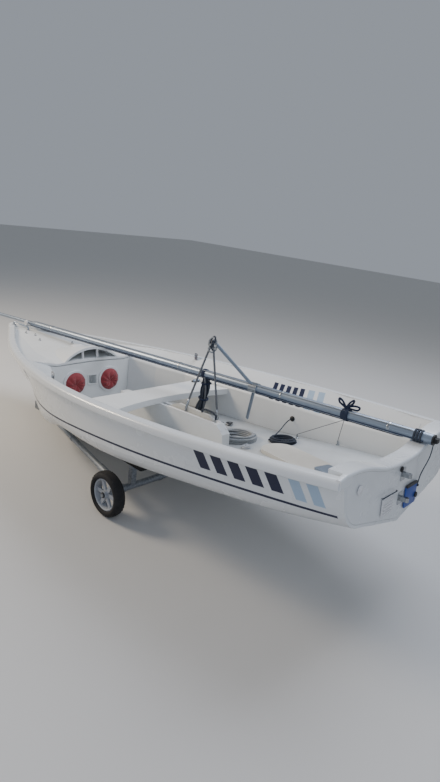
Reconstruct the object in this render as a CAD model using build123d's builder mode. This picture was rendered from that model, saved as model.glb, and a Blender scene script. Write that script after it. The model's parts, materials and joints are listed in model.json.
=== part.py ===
"""Fourteen-foot sailing dinghy, mast lowered, parked on its two-wheeled launching trolley."""

from build123d import *
import os
from math import atan2, cos, pi, radians, sin, sqrt, tan

os.makedirs("parts", exist_ok=True)

# Parked attitude: the trolley's handle is on the ground, so the bow is down.
BOW_DOWN = radians(5.6)
BASE_Z = 94.0  # height of the hull's baseline under the stem head

# Hull, in boat coordinates: s aft from the stem, y to starboard, h up from the baseline.
LENGTH = 4270.0
HALF_BEAM = 840.0
BEAM_S = 2730.0  # station of the widest beam
TRANSOM_HALF_BEAM = 671.0
ENTRY_S = 600.0  # the bow's sides are straight up to here
BOW_ARC = 4700.0
NOSE_RADIUS = 50.0
SHEER_STERN = 460.0
SHEER_RISE = 160.0  # how much higher the sheer is at the stem than at the stern
WALL = 16.0
FIT = 1.5  # the mouldings inside stay this clear of the skin

# Gunwale rim
RIM_WIDTH = 62.0
RIM_DEPTH = 52.0
RIM_OVERHANG = 30.0

# Mast, from its heel behind the transom to the tip of the topmast
MAST_RADIUS = 31.0
MAST_WALL = 2.5
TOPMAST_RADIUS = 17.0
HEEL_S = 4332.0
HOUNDS_S = 290.0
TIP_S = -1260.0
SPREADER_S = 3067.0

# Trolley
WHEEL_RADIUS = 156.0
RIM_RADIUS = 111.0
TRACK_HALF = 654.0
AXLE_S = 2581.0
AXLE_RADIUS = 24.0
STUB_RADIUS = 12.5
STUB_END = 700.0  # how far out the stubs reach
SHOULDER = 615.0  # the axle steps down to the stub here
HUB_HALF = 34.0
RUNNING = 0.05  # radial clearance of a turning hub on its stub
TUBE_RADIUS = 21.0

def save(piece, name):
    """Labels a finished piece and writes it."""
    piece.label = name
    export_step(piece, f"parts/{name}.step")


# Boat directions as world vectors
AFT = Vector(cos(BOW_DOWN), 0, sin(BOW_DOWN))
UP = Vector(-sin(BOW_DOWN), 0, cos(BOW_DOWN))
STARBOARD = Vector(0, 1, 0)


def mast_point(s):
    """Centre of the lowered mast above station s, as boat coordinates."""
    return (s, 89.7 + 0.0418 * s, 640.4 - 0.0433 * s)


def raw(s, y, h):
    """World place of boat coordinates, before the length is centred."""
    return AFT * s + STARBOARD * y + UP * h + Vector(0, 0, BASE_Z)


# The middle of the length overall, from the topmast's tip to the lower gudgeon's lug, is the origin.
GUDGEONS = (("gudgeon_upper", 315.0), ("gudgeon_lower", 180.0))
LUG_REACH, LUG_RADIUS, LUG_HEIGHT = 39.0, 12.0, 24.0
MAST_SLOPE = (raw(*mast_point(0.0)) - raw(*mast_point(1000.0))).normalized()
FORE_END = raw(*mast_point(TIP_S)).X - TOPMAST_RADIUS * sqrt(1 - MAST_SLOPE.X**2)
AFTER_END = raw(LENGTH + LUG_REACH + LUG_RADIUS, 0, GUDGEONS[1][1] - LUG_HEIGHT / 2).X
MIDDLE_X = (FORE_END + AFTER_END) / 2


def at(s, y, h):
    """World place of boat coordinates."""
    return raw(s, y, h) - Vector(MIDDLE_X, 0, 0)


def station(s, y=0.0, h=0.0):
    """Plane across the boat: local x is starboard, local y is up, extrusion goes aft."""
    return Plane(origin=at(s, y, h), x_dir=STARBOARD, z_dir=AFT)


def level(h):
    """Plane along the boat: local x is aft, local y is starboard, extrusion goes up."""
    return Plane(origin=at(0, 0, h), x_dir=AFT, z_dir=UP)


def profile(y):
    """Plane on the side view: local x is aft, local y is up, extrusion goes to port."""
    return Plane(origin=at(0, y, 0), x_dir=AFT, z_dir=-STARBOARD)


def along(start, end):
    """Plane at start whose extrusion goes towards end."""
    a, b = at(*start), at(*end)
    return Plane(origin=a, x_dir=STARBOARD.cross(b - a), z_dir=b - a)


def length_of(start, end):
    """Distance between two places in boat coordinates."""
    return (at(*end) - at(*start)).length


def half_beam(s):
    """Half width over the gunwale rim at station s."""
    if s <= ENTRY_S:
        return half_beam(ENTRY_S + 1e-6) - (ENTRY_S - s) * ENTRY_SLOPE
    radius = BOW_ARC if s < BEAM_S else STERN_ARC
    return HALF_BEAM - radius + sqrt(radius**2 - (BEAM_S - s) ** 2)


ENTRY_SLOPE = (BEAM_S - ENTRY_S) / sqrt(BOW_ARC**2 - (BEAM_S - ENTRY_S) ** 2)
STERN_DROP = HALF_BEAM - TRANSOM_HALF_BEAM
STERN_ARC = ((LENGTH - BEAM_S) ** 2 + STERN_DROP**2) / (2 * STERN_DROP)


def sheer(s):
    """Height of the gunwale's top at station s."""
    return SHEER_STERN + SHEER_RISE * (1 - s / LENGTH) ** 2


def outline(inset, s_end=LENGTH):
    """Edges of the boat's plan, inset from the rim's outer edge, closed at s_end."""
    entry_angle = atan2(ENTRY_SLOPE, 1)
    radius = NOSE_RADIUS - inset if inset < NOSE_RADIUS - 8 else 8.0
    shift = inset / cos(entry_angle)
    apex = ENTRY_S - (half_beam(ENTRY_S) - shift) / ENTRY_SLOPE
    centre = apex + radius / sin(entry_angle)
    touch = (centre - radius * sin(entry_angle), radius * cos(entry_angle))
    nose = centre - radius

    def side(s):
        return half_beam(s) - (shift if s <= ENTRY_S else inset)

    entry = (ENTRY_S, half_beam(ENTRY_S) - shift)
    middle_s = (ENTRY_S + BEAM_S) / 2
    stern_s = (BEAM_S + s_end) / 2
    for hand in (1, -1):
        ThreePointArc((nose, 0), (centre - radius * cos(pi / 4), hand * radius * sin(pi / 4)),
                      (touch[0], hand * touch[1]))
        Line((touch[0], hand * touch[1]), (entry[0], hand * entry[1]))
        ThreePointArc((entry[0], hand * entry[1]), (middle_s, hand * side(middle_s)),
                      (BEAM_S, hand * side(BEAM_S)))
        ThreePointArc((BEAM_S, hand * side(BEAM_S)), (stern_s, hand * side(stern_s)),
                      (s_end, hand * side(s_end)))
    Line((s_end, -side(s_end)), (s_end, side(s_end)))


def sheer_band(top, depth):
    """Edges of the sheer's side view, from top above it down by depth."""
    ends = (-200.0, LENGTH / 2, LENGTH + 200)
    upper = [(s, sheer(s) + top) for s in ends]
    lower = [(s, sheer(s) + top - depth) for s in ends]
    ThreePointArc(*upper)
    Line(upper[2], lower[2])
    ThreePointArc(lower[2], lower[1], lower[0])
    Line(lower[0], upper[0])


# Hull sections: station, bilge top y and h, bilge bottom y and h, keel h
SECTIONS = (
    (30.0, 15.0, 520.0, 9.0, 480.0, 468.0),
    (150.0, 64.0, 379.0, 33.0, 299.0, 272.0),
    (450.0, 142.0, 256.0, 94.0, 137.0, 78.0),
    (700.0, 220.0, 246.0, 169.0, 125.0, 40.0),
    (1000.0, 332.0, 219.0, 272.0, 90.0, 18.0),
    (1800.0, 636.0, 180.0, 488.0, 56.0, 0.0),
    (2400.0, 724.0, 184.0, 548.0, 70.0, 2.0),
    (3000.0, 734.0, 200.0, 562.0, 88.0, 11.0),
    (3600.0, 684.0, 234.0, 532.0, 112.0, 30.0),
    (4000.0, 636.0, 270.0, 490.0, 134.0, 40.0),
    (4270.0, 596.0, 300.0, 442.0, 158.0, 46.0),
)
TOP_SPARE = 60.0


def hull_section(row, inset):
    """Edges of one hull section, inset inside the outer skin."""
    s, top_y, top_h, low_y, low_h, keel = row
    rim_y = half_beam(s) - RIM_OVERHANG - inset
    rim_h = sheer(s) + TOP_SPARE
    keel_h = keel + inset * 1.02
    rise = atan2(low_h - keel, low_y)
    slope = atan2(top_h - low_h, top_y - low_y)
    top = (top_y - inset, top_h + inset * 0.25)
    low = (low_y - inset * sin(slope / 2), low_h + inset * cos(rise))
    bulge = 0.20 * (top[0] - low[0])
    middle = ((top[0] + low[0]) / 2 + bulge * sin(slope), (top[1] + low[1]) / 2 - bulge * cos(slope))
    for hand in (1, -1):
        Line((hand * rim_y, rim_h), (hand * top[0], top[1]))
        ThreePointArc((hand * top[0], top[1]), (hand * middle[0], middle[1]), (hand * low[0], low[1]))
        Line((hand * low[0], low[1]), (0, keel_h))
    Line((-rim_y, rim_h), (rim_y, rim_h))


def hull_form(rows, inset):
    """Closed body of the hull's sections, inset inside the outer skin."""
    with BuildPart() as form:
        for row in rows:
            with BuildSketch(station(row[0])):
                with BuildLine():
                    hull_section(row, inset)
                make_face()
        loft()
    return form.part


BEYOND_STERN = (4330.0, 586.0, 306.0, 431.0, 163.0, 47.0)  # so that the shell is open aft
OUTER_FORM = hull_form(SECTIONS, 0.0)
INNER_FORM = hull_form(SECTIONS[1:] + (BEYOND_STERN,), WALL)
FITTED_FORM = hull_form(SECTIONS[1:] + (BEYOND_STERN,), WALL + FIT)

# Everything below the gunwale rim
with BuildPart() as below_rim:
    with BuildSketch(profile(HALF_BEAM + 100)):
        with BuildLine():
            sheer_band(-RIM_DEPTH, 900.0)
        make_face()
    extrude(amount=2 * HALF_BEAM + 200)

with BuildPart() as hull:
    add(OUTER_FORM)
    add(INNER_FORM, mode=Mode.SUBTRACT)
    add(below_rim.part, mode=Mode.INTERSECT)
save(hull.part, "hull")

# Gunwale rim, one band round the whole boat
with BuildPart() as gunwale:
    with BuildSketch(level(0.0)):
        with BuildLine():
            outline(0.0)
        make_face()
        with BuildLine():
            outline(RIM_WIDTH, LENGTH + 10)
        make_face(mode=Mode.SUBTRACT)
    extrude(amount=900.0)
    with BuildSketch(profile(HALF_BEAM + 100)):
        with BuildLine():
            sheer_band(0.0, RIM_DEPTH)
        make_face()
    extrude(amount=2 * HALF_BEAM + 200, mode=Mode.INTERSECT)
save(gunwale.part, "gunwale")


# Cockpit: station, half width and height of the seat's inner edge, height of the sole
COCKPIT = (
    (1453.0, 395.0, 448.0, 120.0),
    (1700.0, 500.0, 390.0, 117.0),
    (2000.0, 580.0, 362.0, 114.0),
    (2400.0, 602.0, 348.0, 112.0),
    (3000.0, 602.0, 326.0, 116.0),
    (3500.0, 596.0, 304.0, 148.3),
    (4000.0, 560.0, 320.0, 180.6),
    (4238.0, 540.0, 332.0, 196.0),
)
SOLE_THICK = 14.0
FOOT_IN = 30.0  # the seat's foot stands this far inside its edge
SEAT_ROUND = 26.0
DEPTH_SPARE = 140.0
SEAT_LIP = 8.0  # the side deck starts this far below the rim's top


def sole(s):
    """Height of the cockpit sole's top at station s."""
    for (s0, _, _, h0), (s1, _, _, h1) in zip(COCKPIT, COCKPIT[1:]):
        if s <= s1:
            return h0 + (h1 - h0) * (s - s0) / (s1 - s0)
    return COCKPIT[-1][3]


def seat_face(row, clear):
    """Foot and edge of the seat's inner face, moved inboard by clear."""
    _, edge_y, edge_h, sole_h = row
    return (edge_y - FOOT_IN - clear, sole_h), (edge_y - clear, edge_h)


# Space between the two side tanks, used to fit what spans the cockpit
with BuildPart() as cockpit_space:
    for row in COCKPIT:
        foot, edge = seat_face(row, 0.5)
        with BuildSketch(station(row[0])):
            with BuildLine():
                Polyline((-foot[0], -DEPTH_SPARE), (-foot[0], foot[1]), (-edge[0], edge[1]),
                         (edge[0], edge[1]), (foot[0], foot[1]), (foot[0], -DEPTH_SPARE), close=True)
            make_face()
    loft(ruled=True)

with BuildPart() as inside_rim:
    with BuildSketch(level(0.0)):
        with BuildLine():
            outline(RIM_WIDTH + FIT)
        make_face()
    extrude(amount=900.0)
    with BuildSketch(level(0.0)):
        with BuildLine():
            outline(RIM_WIDTH + FIT)
        make_face()
    extrude(amount=-200.0)

# Side tanks with their sloping side decks
TANKS = []
for name, hand in (("side_tank_port", -1), ("side_tank_starboard", 1)):
    with BuildPart() as side_tank:
        for row in COCKPIT:
            s = row[0]
            foot, edge = seat_face(row, 0.0)
            rim_y, rim_h = half_beam(s) - RIM_WIDTH, sheer(s) - SEAT_LIP
            slope = (rim_h - edge[1]) / (rim_y - edge[0])
            out_y = rim_y + 90.0
            with BuildSketch(station(s)):
                with BuildLine():
                    FilletPolyline((hand * foot[0], foot[1]), (hand * edge[0], edge[1]),
                                   (hand * out_y, rim_h + slope * 90.0), radius=SEAT_ROUND)
                    Polyline((hand * out_y, rim_h + slope * 90.0), (hand * out_y, -DEPTH_SPARE),
                             (hand * foot[0], -DEPTH_SPARE), (hand * foot[0], foot[1]))
                make_face()
        loft(ruled=True)
        add(FITTED_FORM, mode=Mode.INTERSECT)
        add(inside_rim.part, mode=Mode.INTERSECT)
    TANKS.append(side_tank.part)
    save(side_tank.part, name)

# Cockpit sole
with BuildPart() as cockpit_sole:
    with BuildSketch(profile(HALF_BEAM)):
        with BuildLine():
            top = [(row[0], row[3]) for row in COCKPIT]
            bottom = [(s, h - SOLE_THICK) for s, h in reversed(top)]
            Polyline(*top, *bottom, close=True)
        make_face()
    extrude(amount=2 * HALF_BEAM)
    add(cockpit_space.part, mode=Mode.INTERSECT)
    add(FITTED_FORM, mode=Mode.INTERSECT)
save(cockpit_sole.part, "cockpit_sole")

# Foredeck: station, half width, edge h, flat half width, flat h, crown h
FOREDECK = (
    (100.0, 14.0, 582.0, 9.0, 581.0, 582.0),
    (500.0, 222.0, 553.0, 150.0, 548.0, 556.0),
    (1100.0, 490.0, 519.0, 330.0, 500.0, 512.0),
    (1452.0, 616.0, 519.0, 336.0, 459.0, 471.0),
)
DECK_THICK = 18.0


def deck_form(thick, drop=0.0):
    """The foredeck's crowned panel thick deep, its top lowered by drop."""
    with BuildPart() as deck:
        for s, edge_y, edge_top, flat_y, flat_top, crown_top in FOREDECK:
            edge_h, flat_h, crown = edge_top - drop, flat_top - drop, crown_top - drop
            with BuildSketch(station(s)):
                with BuildLine():
                    Line((-edge_y, edge_h), (-flat_y, flat_h))
                    ThreePointArc((-flat_y, flat_h), (0, crown), (flat_y, flat_h))
                    Line((flat_y, flat_h), (edge_y, edge_h))
                    Line((edge_y, edge_h), (edge_y, edge_h - thick))
                    Line((edge_y, edge_h - thick), (flat_y, flat_h - thick))
                    ThreePointArc((flat_y, flat_h - thick), (0, crown - thick), (-flat_y, flat_h - thick))
                    Line((-flat_y, flat_h - thick), (-edge_y, edge_h - thick))
                    Line((-edge_y, edge_h - thick), (-edge_y, edge_h))
                make_face()
        loft(ruled=True)
        add(inside_rim.part, mode=Mode.INTERSECT)
    return deck.part


save(deck_form(DECK_THICK), "foredeck")

# Closed forward buoyancy tank under the deck, recessed for the two bags and the mast step
BULKHEAD_S, BULKHEAD_THICK = 1428.0, 22.0
RING_Y, RING_H, RING_RADIUS, RING_LIP = 172.0, 275.0, 100.0, 14.0
BAG_RADIUS, BAG_DEPTH, BAG_PUFF = 92.0, 190.0, 26.0
STEP_H, STEP_SIZE, STEP_DEPTH = 290.0, 92.0, 60.0
TANK_START = 170.0
with BuildPart() as forward_tank:
    add(deck_form(900.0, DECK_THICK))
    add(FITTED_FORM, mode=Mode.INTERSECT)
    with BuildSketch(station(TANK_START)):
        Rectangle(3000, 3000)
    extrude(amount=BULKHEAD_S - TANK_START, mode=Mode.INTERSECT)
    with BuildSketch(station(BULKHEAD_S)):
        with Locations((-RING_Y, RING_H), (RING_Y, RING_H)):
            Circle(BAG_RADIUS)
    extrude(amount=-BAG_DEPTH, mode=Mode.SUBTRACT)
    with BuildSketch(station(BULKHEAD_S)):
        with Locations((0, STEP_H)):
            Rectangle(STEP_SIZE, STEP_SIZE)
    extrude(amount=-STEP_DEPTH, mode=Mode.SUBTRACT)
save(forward_tank.part, "forward_tank")

# Raised hood at the foredeck's after edge: station, half width, edge h, crown h
HOOD = (
    (1040.0, 225.0, 478.0, 514.0),
    (1250.0, 250.0, 472.0, 549.0),
    (1450.0, 272.0, 462.0, 573.0),
)
HOOD_WALL = 20.0


def hood_form(inset, spare):
    """Body under the hood's arch, inset inside its skin and longer by spare."""
    with BuildPart() as form:
        for s, half, edge, crown in HOOD:
            shift = spare if s == HOOD[-1][0] else 0.0
            with BuildSketch(station(s + shift)):
                with BuildLine():
                    ThreePointArc((-half + inset, edge), (0, crown - inset), (half - inset, edge))
                    Polyline((half - inset, edge), (half - inset, edge - 60), (-half + inset, edge - 60),
                             (-half + inset, edge))
                make_face()
        loft()
    return form.part


with BuildPart() as foredeck_hood:
    add(hood_form(0.0, 0.0))
    add(hood_form(HOOD_WALL, 5.0), mode=Mode.SUBTRACT)
    add(deck_form(200.0), mode=Mode.SUBTRACT)
hood_solid = foredeck_hood.part.solids().sort_by(SortBy.VOLUME)[-1]
save(hood_solid, "foredeck_hood")

# Two short posts that carry the hood
POST_S, POST_Y, POST_RADIUS = 1415.0, 72.0, 11.0
with BuildPart() as hood_posts:
    for hand in (-1, 1):
        with BuildSketch(level(400.0)):
            with Locations((POST_S, hand * POST_Y)):
                Circle(POST_RADIUS)
        extrude(amount=240.0)
    add(deck_form(200.0), mode=Mode.SUBTRACT)
    add(hood_form(HOOD_WALL + 0.5, 5.0), mode=Mode.INTERSECT)
save(hood_posts.part, "hood_posts")

# Forward bulkhead with two round bag openings and the mast-step recess
with BuildPart() as forward_bulkhead:
    with BuildSketch(station(BULKHEAD_S)):
        with BuildLine():
            Polyline((-560, 476), (-338, 436), (0, 446), (338, 436), (560, 476), (560, -60), (-560, -60),
                     close=True)
        make_face()
        with Locations((-RING_Y, RING_H), (RING_Y, RING_H)):
            Circle(BAG_RADIUS, mode=Mode.SUBTRACT)
        with Locations((0, STEP_H)):
            Rectangle(STEP_SIZE, STEP_SIZE, mode=Mode.SUBTRACT)
    extrude(amount=BULKHEAD_THICK)
    add(FITTED_FORM, mode=Mode.INTERSECT)
save(forward_bulkhead.part, "forward_bulkhead")

BULKHEAD_AFT = BULKHEAD_S + BULKHEAD_THICK
RING_THICK, RING_ROUND, BAG_MOUTH = 10.0, 4.0, 62.0
with BuildPart() as bag_rings:
    with BuildSketch(station(BULKHEAD_AFT)):
        with Locations((-RING_Y, RING_H), (RING_Y, RING_H)):
            Circle(RING_RADIUS + RING_LIP)
            Circle(BAG_RADIUS + 2, mode=Mode.SUBTRACT)
    extrude(amount=RING_THICK)
    for face in bag_rings.faces().sort_by(Axis((0, 0, 0), AFT))[-2:]:
        fillet(face.outer_wire().edges(), RING_ROUND)
save(bag_rings.part, "bag_rings")

for side, hand in (("port", -1), ("starboard", 1)):
    with BuildPart() as spinnaker_bag:
        with BuildSketch(station(BULKHEAD_AFT + BAG_PUFF, hand * RING_Y, RING_H)):
            Circle(BAG_MOUTH)
        with BuildSketch(station(BULKHEAD_AFT, hand * RING_Y, RING_H)):
            Circle(BAG_RADIUS)
        loft()
        with BuildSketch(station(BULKHEAD_AFT, hand * RING_Y, RING_H)):
            Circle(BAG_RADIUS)
        extrude(amount=-(BAG_DEPTH + BULKHEAD_THICK))
    save(spinnaker_bag.part, f"spinnaker_bag_{side}")

with BuildPart() as mast_step_box:
    with BuildSketch(station(BULKHEAD_S - STEP_DEPTH, 0, STEP_H)):
        Rectangle(STEP_SIZE, STEP_SIZE)
    extrude(amount=STEP_DEPTH + BULKHEAD_THICK + 6)
    with BuildSketch(station(BULKHEAD_S - STEP_DEPTH + 10, 0, STEP_H)):
        Rectangle(STEP_SIZE - 16, STEP_SIZE - 16)
    extrude(amount=STEP_DEPTH + BULKHEAD_THICK, mode=Mode.SUBTRACT)
save(mast_step_box.part, "mast_step_box")

# Thwart with flared ends
THWART_S, THWART_WIDTH, THWART_TOP, THWART_THICK = 2130.0, 250.0, 330.0, 44.0
THWART_START, THWART_REACH, THWART_FLARE = THWART_S - 30.0, 620.0, 120.0
THWART_END = THWART_S + THWART_WIDTH
with BuildPart() as thwart:
    with BuildSketch(level(THWART_TOP - THWART_THICK)):
        with BuildLine():
            Line((THWART_START, -THWART_REACH), (THWART_START, THWART_REACH))
            Line((THWART_START, THWART_REACH), (THWART_END + THWART_FLARE, THWART_REACH))
            ThreePointArc((THWART_END + THWART_FLARE, THWART_REACH), (THWART_END, 0),
                          (THWART_END + THWART_FLARE, -THWART_REACH))
            Line((THWART_END + THWART_FLARE, -THWART_REACH), (THWART_START, -THWART_REACH))
        make_face()
    extrude(amount=THWART_THICK)
    add(cockpit_space.part, mode=Mode.INTERSECT)
save(thwart.part, "thwart")

# Centreboard case, its capping rail and the head of the raised board
CASE_START, CASE_END, CASE_HALF, CASE_TOP, CASE_AFT_TOP = 1900.0, 3020.0, 38.0, 285.0, 262.0
BOARD_FOOT, CASE_CUT, SLOT_LENGTH, SLOT_WIDTH, SLOT_S = 132.0, 60.0, 620.0, 28.0, 2620.0
with BuildPart() as centreboard_case:
    with BuildSketch(profile(CASE_HALF)):
        with BuildLine():
            Polyline((CASE_START, sole(CASE_START)), (CASE_START, CASE_TOP),
                     (THWART_END, CASE_TOP), (CASE_END - CASE_CUT, CASE_AFT_TOP),
                     (CASE_END, CASE_AFT_TOP - CASE_CUT), (CASE_END, sole(CASE_END)),
                     (3000, sole(3000)), (2400, sole(2400)), (2000, sole(2000)), close=True)
        make_face()
    extrude(amount=2 * CASE_HALF)
    with BuildSketch(level(BOARD_FOOT)):
        with Locations((SLOT_S, 0)):
            SlotOverall(SLOT_LENGTH, SLOT_WIDTH)
    extrude(amount=CASE_TOP, mode=Mode.SUBTRACT)
save(centreboard_case.part, "centreboard_case")

with BuildPart() as centreboard_head:
    with BuildSketch(profile(11.0)):
        with BuildLine():
            Polyline((2480, BOARD_FOOT), (2480, 296), (2560, 322), (2860, 300), (2900, 270),
                     (2900, BOARD_FOOT), close=True)
        make_face()
    extrude(amount=22.0)
save(centreboard_head.part, "centreboard_head")

# Transom with its dipped top, and the moulding along that top
TRANSOM_S, TRANSOM_AFT = 4238.0, 4276.0
DIP_H, DIP_Y = 392.0, 40.0  # the top's lowest height, and how far out it stays level
RISE_H, RISE_Y, LIP_END_Y = 472.0, 566.0, 606.0
LIP_THICK, SHELF_START = 24.0, 4176.0


def dipped_top(drop):
    """Edges of the transom's S-curved top, lowered by drop."""
    wide, high = (RISE_Y - DIP_Y) / 2, (RISE_H - DIP_H) / 2
    radius = (wide**2 + high**2) / (2 * high)
    half_angle = atan2(high, wide)
    step_y, step_h = radius * sin(half_angle), radius * (1 - cos(half_angle))
    low, top = DIP_H - drop, RISE_H - drop
    for hand in (-1, 1):
        ThreePointArc((hand * DIP_Y, low), (hand * (DIP_Y + step_y), low + step_h),
                      (hand * (DIP_Y + wide), low + high))
        ThreePointArc((hand * (DIP_Y + wide), low + high), (hand * (RISE_Y - step_y), top - step_h),
                      (hand * RISE_Y, top))
        Line((hand * RISE_Y, top), (hand * LIP_END_Y, top))
    Line((-DIP_Y, low), (DIP_Y, low))


def lip_face():
    """Section of the moulding, between two copies of the dipped top."""
    with BuildSketch() as section:
        with BuildLine():
            dipped_top(0.0)
            dipped_top(LIP_THICK)
            for hand in (-1, 1):
                Line((hand * LIP_END_Y, RISE_H), (hand * LIP_END_Y, RISE_H - LIP_THICK))
        make_face()
    return section.sketch


with BuildPart() as shelf:
    with BuildSketch(station(SHELF_START)):
        add(lip_face())
    extrude(amount=TRANSOM_S - SHELF_START)
    add(inside_rim.part, mode=Mode.INTERSECT)
    for tank in TANKS:
        add(tank, mode=Mode.SUBTRACT)

with BuildPart() as transom_lip:
    with BuildSketch(station(TRANSOM_S)):
        add(lip_face())
    extrude(amount=TRANSOM_AFT - TRANSOM_S)
    add(shelf.part)
save(transom_lip.part, "transom_lip")

UNDER_RIM_H, PANEL_Y = 404.0, 650.0
with BuildPart() as transom:
    with BuildSketch(station(TRANSOM_S + 2)):
        with BuildLine():
            dipped_top(LIP_THICK)
            for hand in (-1, 1):
                Polyline((hand * LIP_END_Y, RISE_H - LIP_THICK), (hand * LIP_END_Y, UNDER_RIM_H),
                         (hand * PANEL_Y, UNDER_RIM_H), (hand * PANEL_Y, 0))
            Line((-PANEL_Y, 0), (PANEL_Y, 0))
        make_face()
    extrude(amount=LENGTH - TRANSOM_S - 2)
    add(FITTED_FORM, mode=Mode.INTERSECT)
save(transom.part, "transom")

# Gudgeons and drain bungs on the transom: height of the lug's middle
PINTLE_RADIUS, PLATE_THICK = 4.1, 3.0
for name, height in GUDGEONS:
    with BuildPart() as gudgeon:
        with BuildSketch(station(LENGTH, 0, height)):
            RectangleRounded(56, 70, 8)
        extrude(amount=PLATE_THICK)
        with BuildSketch(level(height - LUG_HEIGHT / 2)):
            with Locations((LENGTH + LUG_REACH / 2, 0)):
                Rectangle(LUG_REACH, 2 * LUG_RADIUS)
            with Locations((LENGTH + LUG_REACH, 0)):
                Circle(LUG_RADIUS)
        extrude(amount=LUG_HEIGHT)
        with BuildSketch(level(height - LUG_HEIGHT)):
            with Locations((LENGTH + LUG_REACH, 0)):
                Circle(PINTLE_RADIUS)
        extrude(amount=2 * LUG_HEIGHT, mode=Mode.SUBTRACT)
    save(gudgeon.part, name)

with BuildPart() as drain_bung:
    with BuildSketch(station(LENGTH, 180, 150)):
        Circle(24)
    extrude(amount=6.0)
    with BuildSketch(station(LENGTH + 6, 180, 150)):
        Circle(15)
    extrude(amount=12.0)
save(drain_bung.part, "drain_bung")

# Shroud plates on the side decks
PLATE_S, PLATE_Y, PLATE_H, PLATE_HOLE_H = 2004.0, 700.0, 510.0, 528.0
with BuildPart() as shroud_plates:
    for hand in (-1, 1):
        with BuildSketch(profile(hand * PLATE_Y + 2)):
            with Locations((PLATE_S, PLATE_H)):
                RectangleRounded(34, 60, 8)
            with Locations((PLATE_S, PLATE_HOLE_H)):
                Circle(4, mode=Mode.SUBTRACT)
        extrude(amount=4.0)
    for tank in TANKS:
        add(tank, mode=Mode.SUBTRACT)
save(shroud_plates.part, "shroud_plates")

# Lowered mast
HEEL = mast_point(HEEL_S)
TUBE_AFT = mast_point(HEEL_S - 30)
TUBE_FRONT = mast_point(HOUNDS_S + 60)
HOUNDS_FRONT = mast_point(HOUNDS_S - 60)
TOPMAST_AFT = mast_point(HOUNDS_S + 30)
TIP = mast_point(TIP_S)
with BuildPart() as mast_tube:
    with BuildSketch(along(TUBE_FRONT, TUBE_AFT)):
        Circle(MAST_RADIUS)
        Circle(MAST_RADIUS - MAST_WALL, mode=Mode.SUBTRACT)
    extrude(amount=length_of(TUBE_FRONT, TUBE_AFT))
save(mast_tube.part, "mast_tube")

with BuildPart() as mast_heel:
    with BuildSketch(along(TUBE_AFT, HEEL)):
        Circle(MAST_RADIUS)
    extrude(amount=10.0)
    with BuildSketch(along(TUBE_AFT, HEEL)):
        Rectangle(26, 40)
    extrude(amount=length_of(TUBE_AFT, HEEL))
save(mast_heel.part, "mast_heel")

with BuildPart() as topmast:
    with BuildSketch(along(TIP, TOPMAST_AFT)):
        Circle(TOPMAST_RADIUS)
        Circle(TOPMAST_RADIUS - 2, mode=Mode.SUBTRACT)
    extrude(amount=length_of(TIP, TOPMAST_AFT))
save(topmast.part, "topmast")

with BuildPart() as hounds_fitting:
    with BuildSketch(along(TUBE_FRONT, HOUNDS_FRONT)):
        Circle(MAST_RADIUS)
    with BuildSketch(along(HOUNDS_FRONT, TIP)):
        Circle(TOPMAST_RADIUS + 5)
    loft()
    with BuildSketch(along(TOPMAST_AFT, TIP)):
        Circle(TOPMAST_RADIUS)
    extrude(amount=200.0, mode=Mode.SUBTRACT)
save(hounds_fitting.part, "hounds_fitting")

# Spreaders in their bracket
HUB = mast_point(SPREADER_S)
SPREADER_TIPS = (("spreader_upper", (2857.0, 0.0, 827.0)), ("spreader_lower", (2850.0, 425.0, 200.0)))
with BuildPart() as spreader_bracket:
    with BuildSketch(along(HUB, mast_point(SPREADER_S + 60))):
        Circle(MAST_RADIUS + 6)
        Circle(MAST_RADIUS, mode=Mode.SUBTRACT)
    extrude(amount=34.0, both=True)
save(spreader_bracket.part, "spreader_bracket")
for name, tip in SPREADER_TIPS:
    with BuildPart() as spreader:
        with BuildSketch(along(HUB, tip)):
            RectangleRounded(26, 12, 5)
        extrude(amount=length_of(HUB, tip))
        with BuildSketch(along(mast_point(SPREADER_S + 300), mast_point(SPREADER_S - 300))):
            Circle(MAST_RADIUS + 6)
        extrude(amount=620.0, mode=Mode.SUBTRACT)
    save(spreader.part, name)


# Launching trolley, laid out from the ground: x aft, y starboard, z up from the ground
AXLE_H = (WHEEL_RADIUS - BASE_Z - AXLE_S * sin(BOW_DOWN)) / cos(BOW_DOWN)
AXLE_X = at(AXLE_S, 0, AXLE_H).X


def ground(x, y, z):
    """Place at x aft of the stem's foot line."""
    return Vector(x - MIDDLE_X, y, z)


def toward(start, end):
    """Plane at start whose extrusion goes towards end."""
    return Plane(origin=start, x_dir=STARBOARD.cross(end - start), z_dir=end - start)


def upright(x, y, z):
    """Horizontal plane at a world place: local x aft, local y starboard."""
    return Plane(origin=(x, y, z), x_dir=(1, 0, 0), z_dir=(0, 0, 1))


def wheel_plane(y):
    """Plane across the axle at y, extrusion going to starboard."""
    return Plane(origin=(AXLE_X, y, WHEEL_RADIUS), x_dir=(1, 0, 0), z_dir=(0, 1, 0))


with BuildPart() as axle:
    with BuildSketch(wheel_plane(0)):
        Circle(AXLE_RADIUS)
    extrude(amount=SHOULDER, both=True)
    with BuildSketch(wheel_plane(0)):
        Circle(STUB_RADIUS)
    extrude(amount=STUB_END, both=True)
save(axle.part, "axle")

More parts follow.
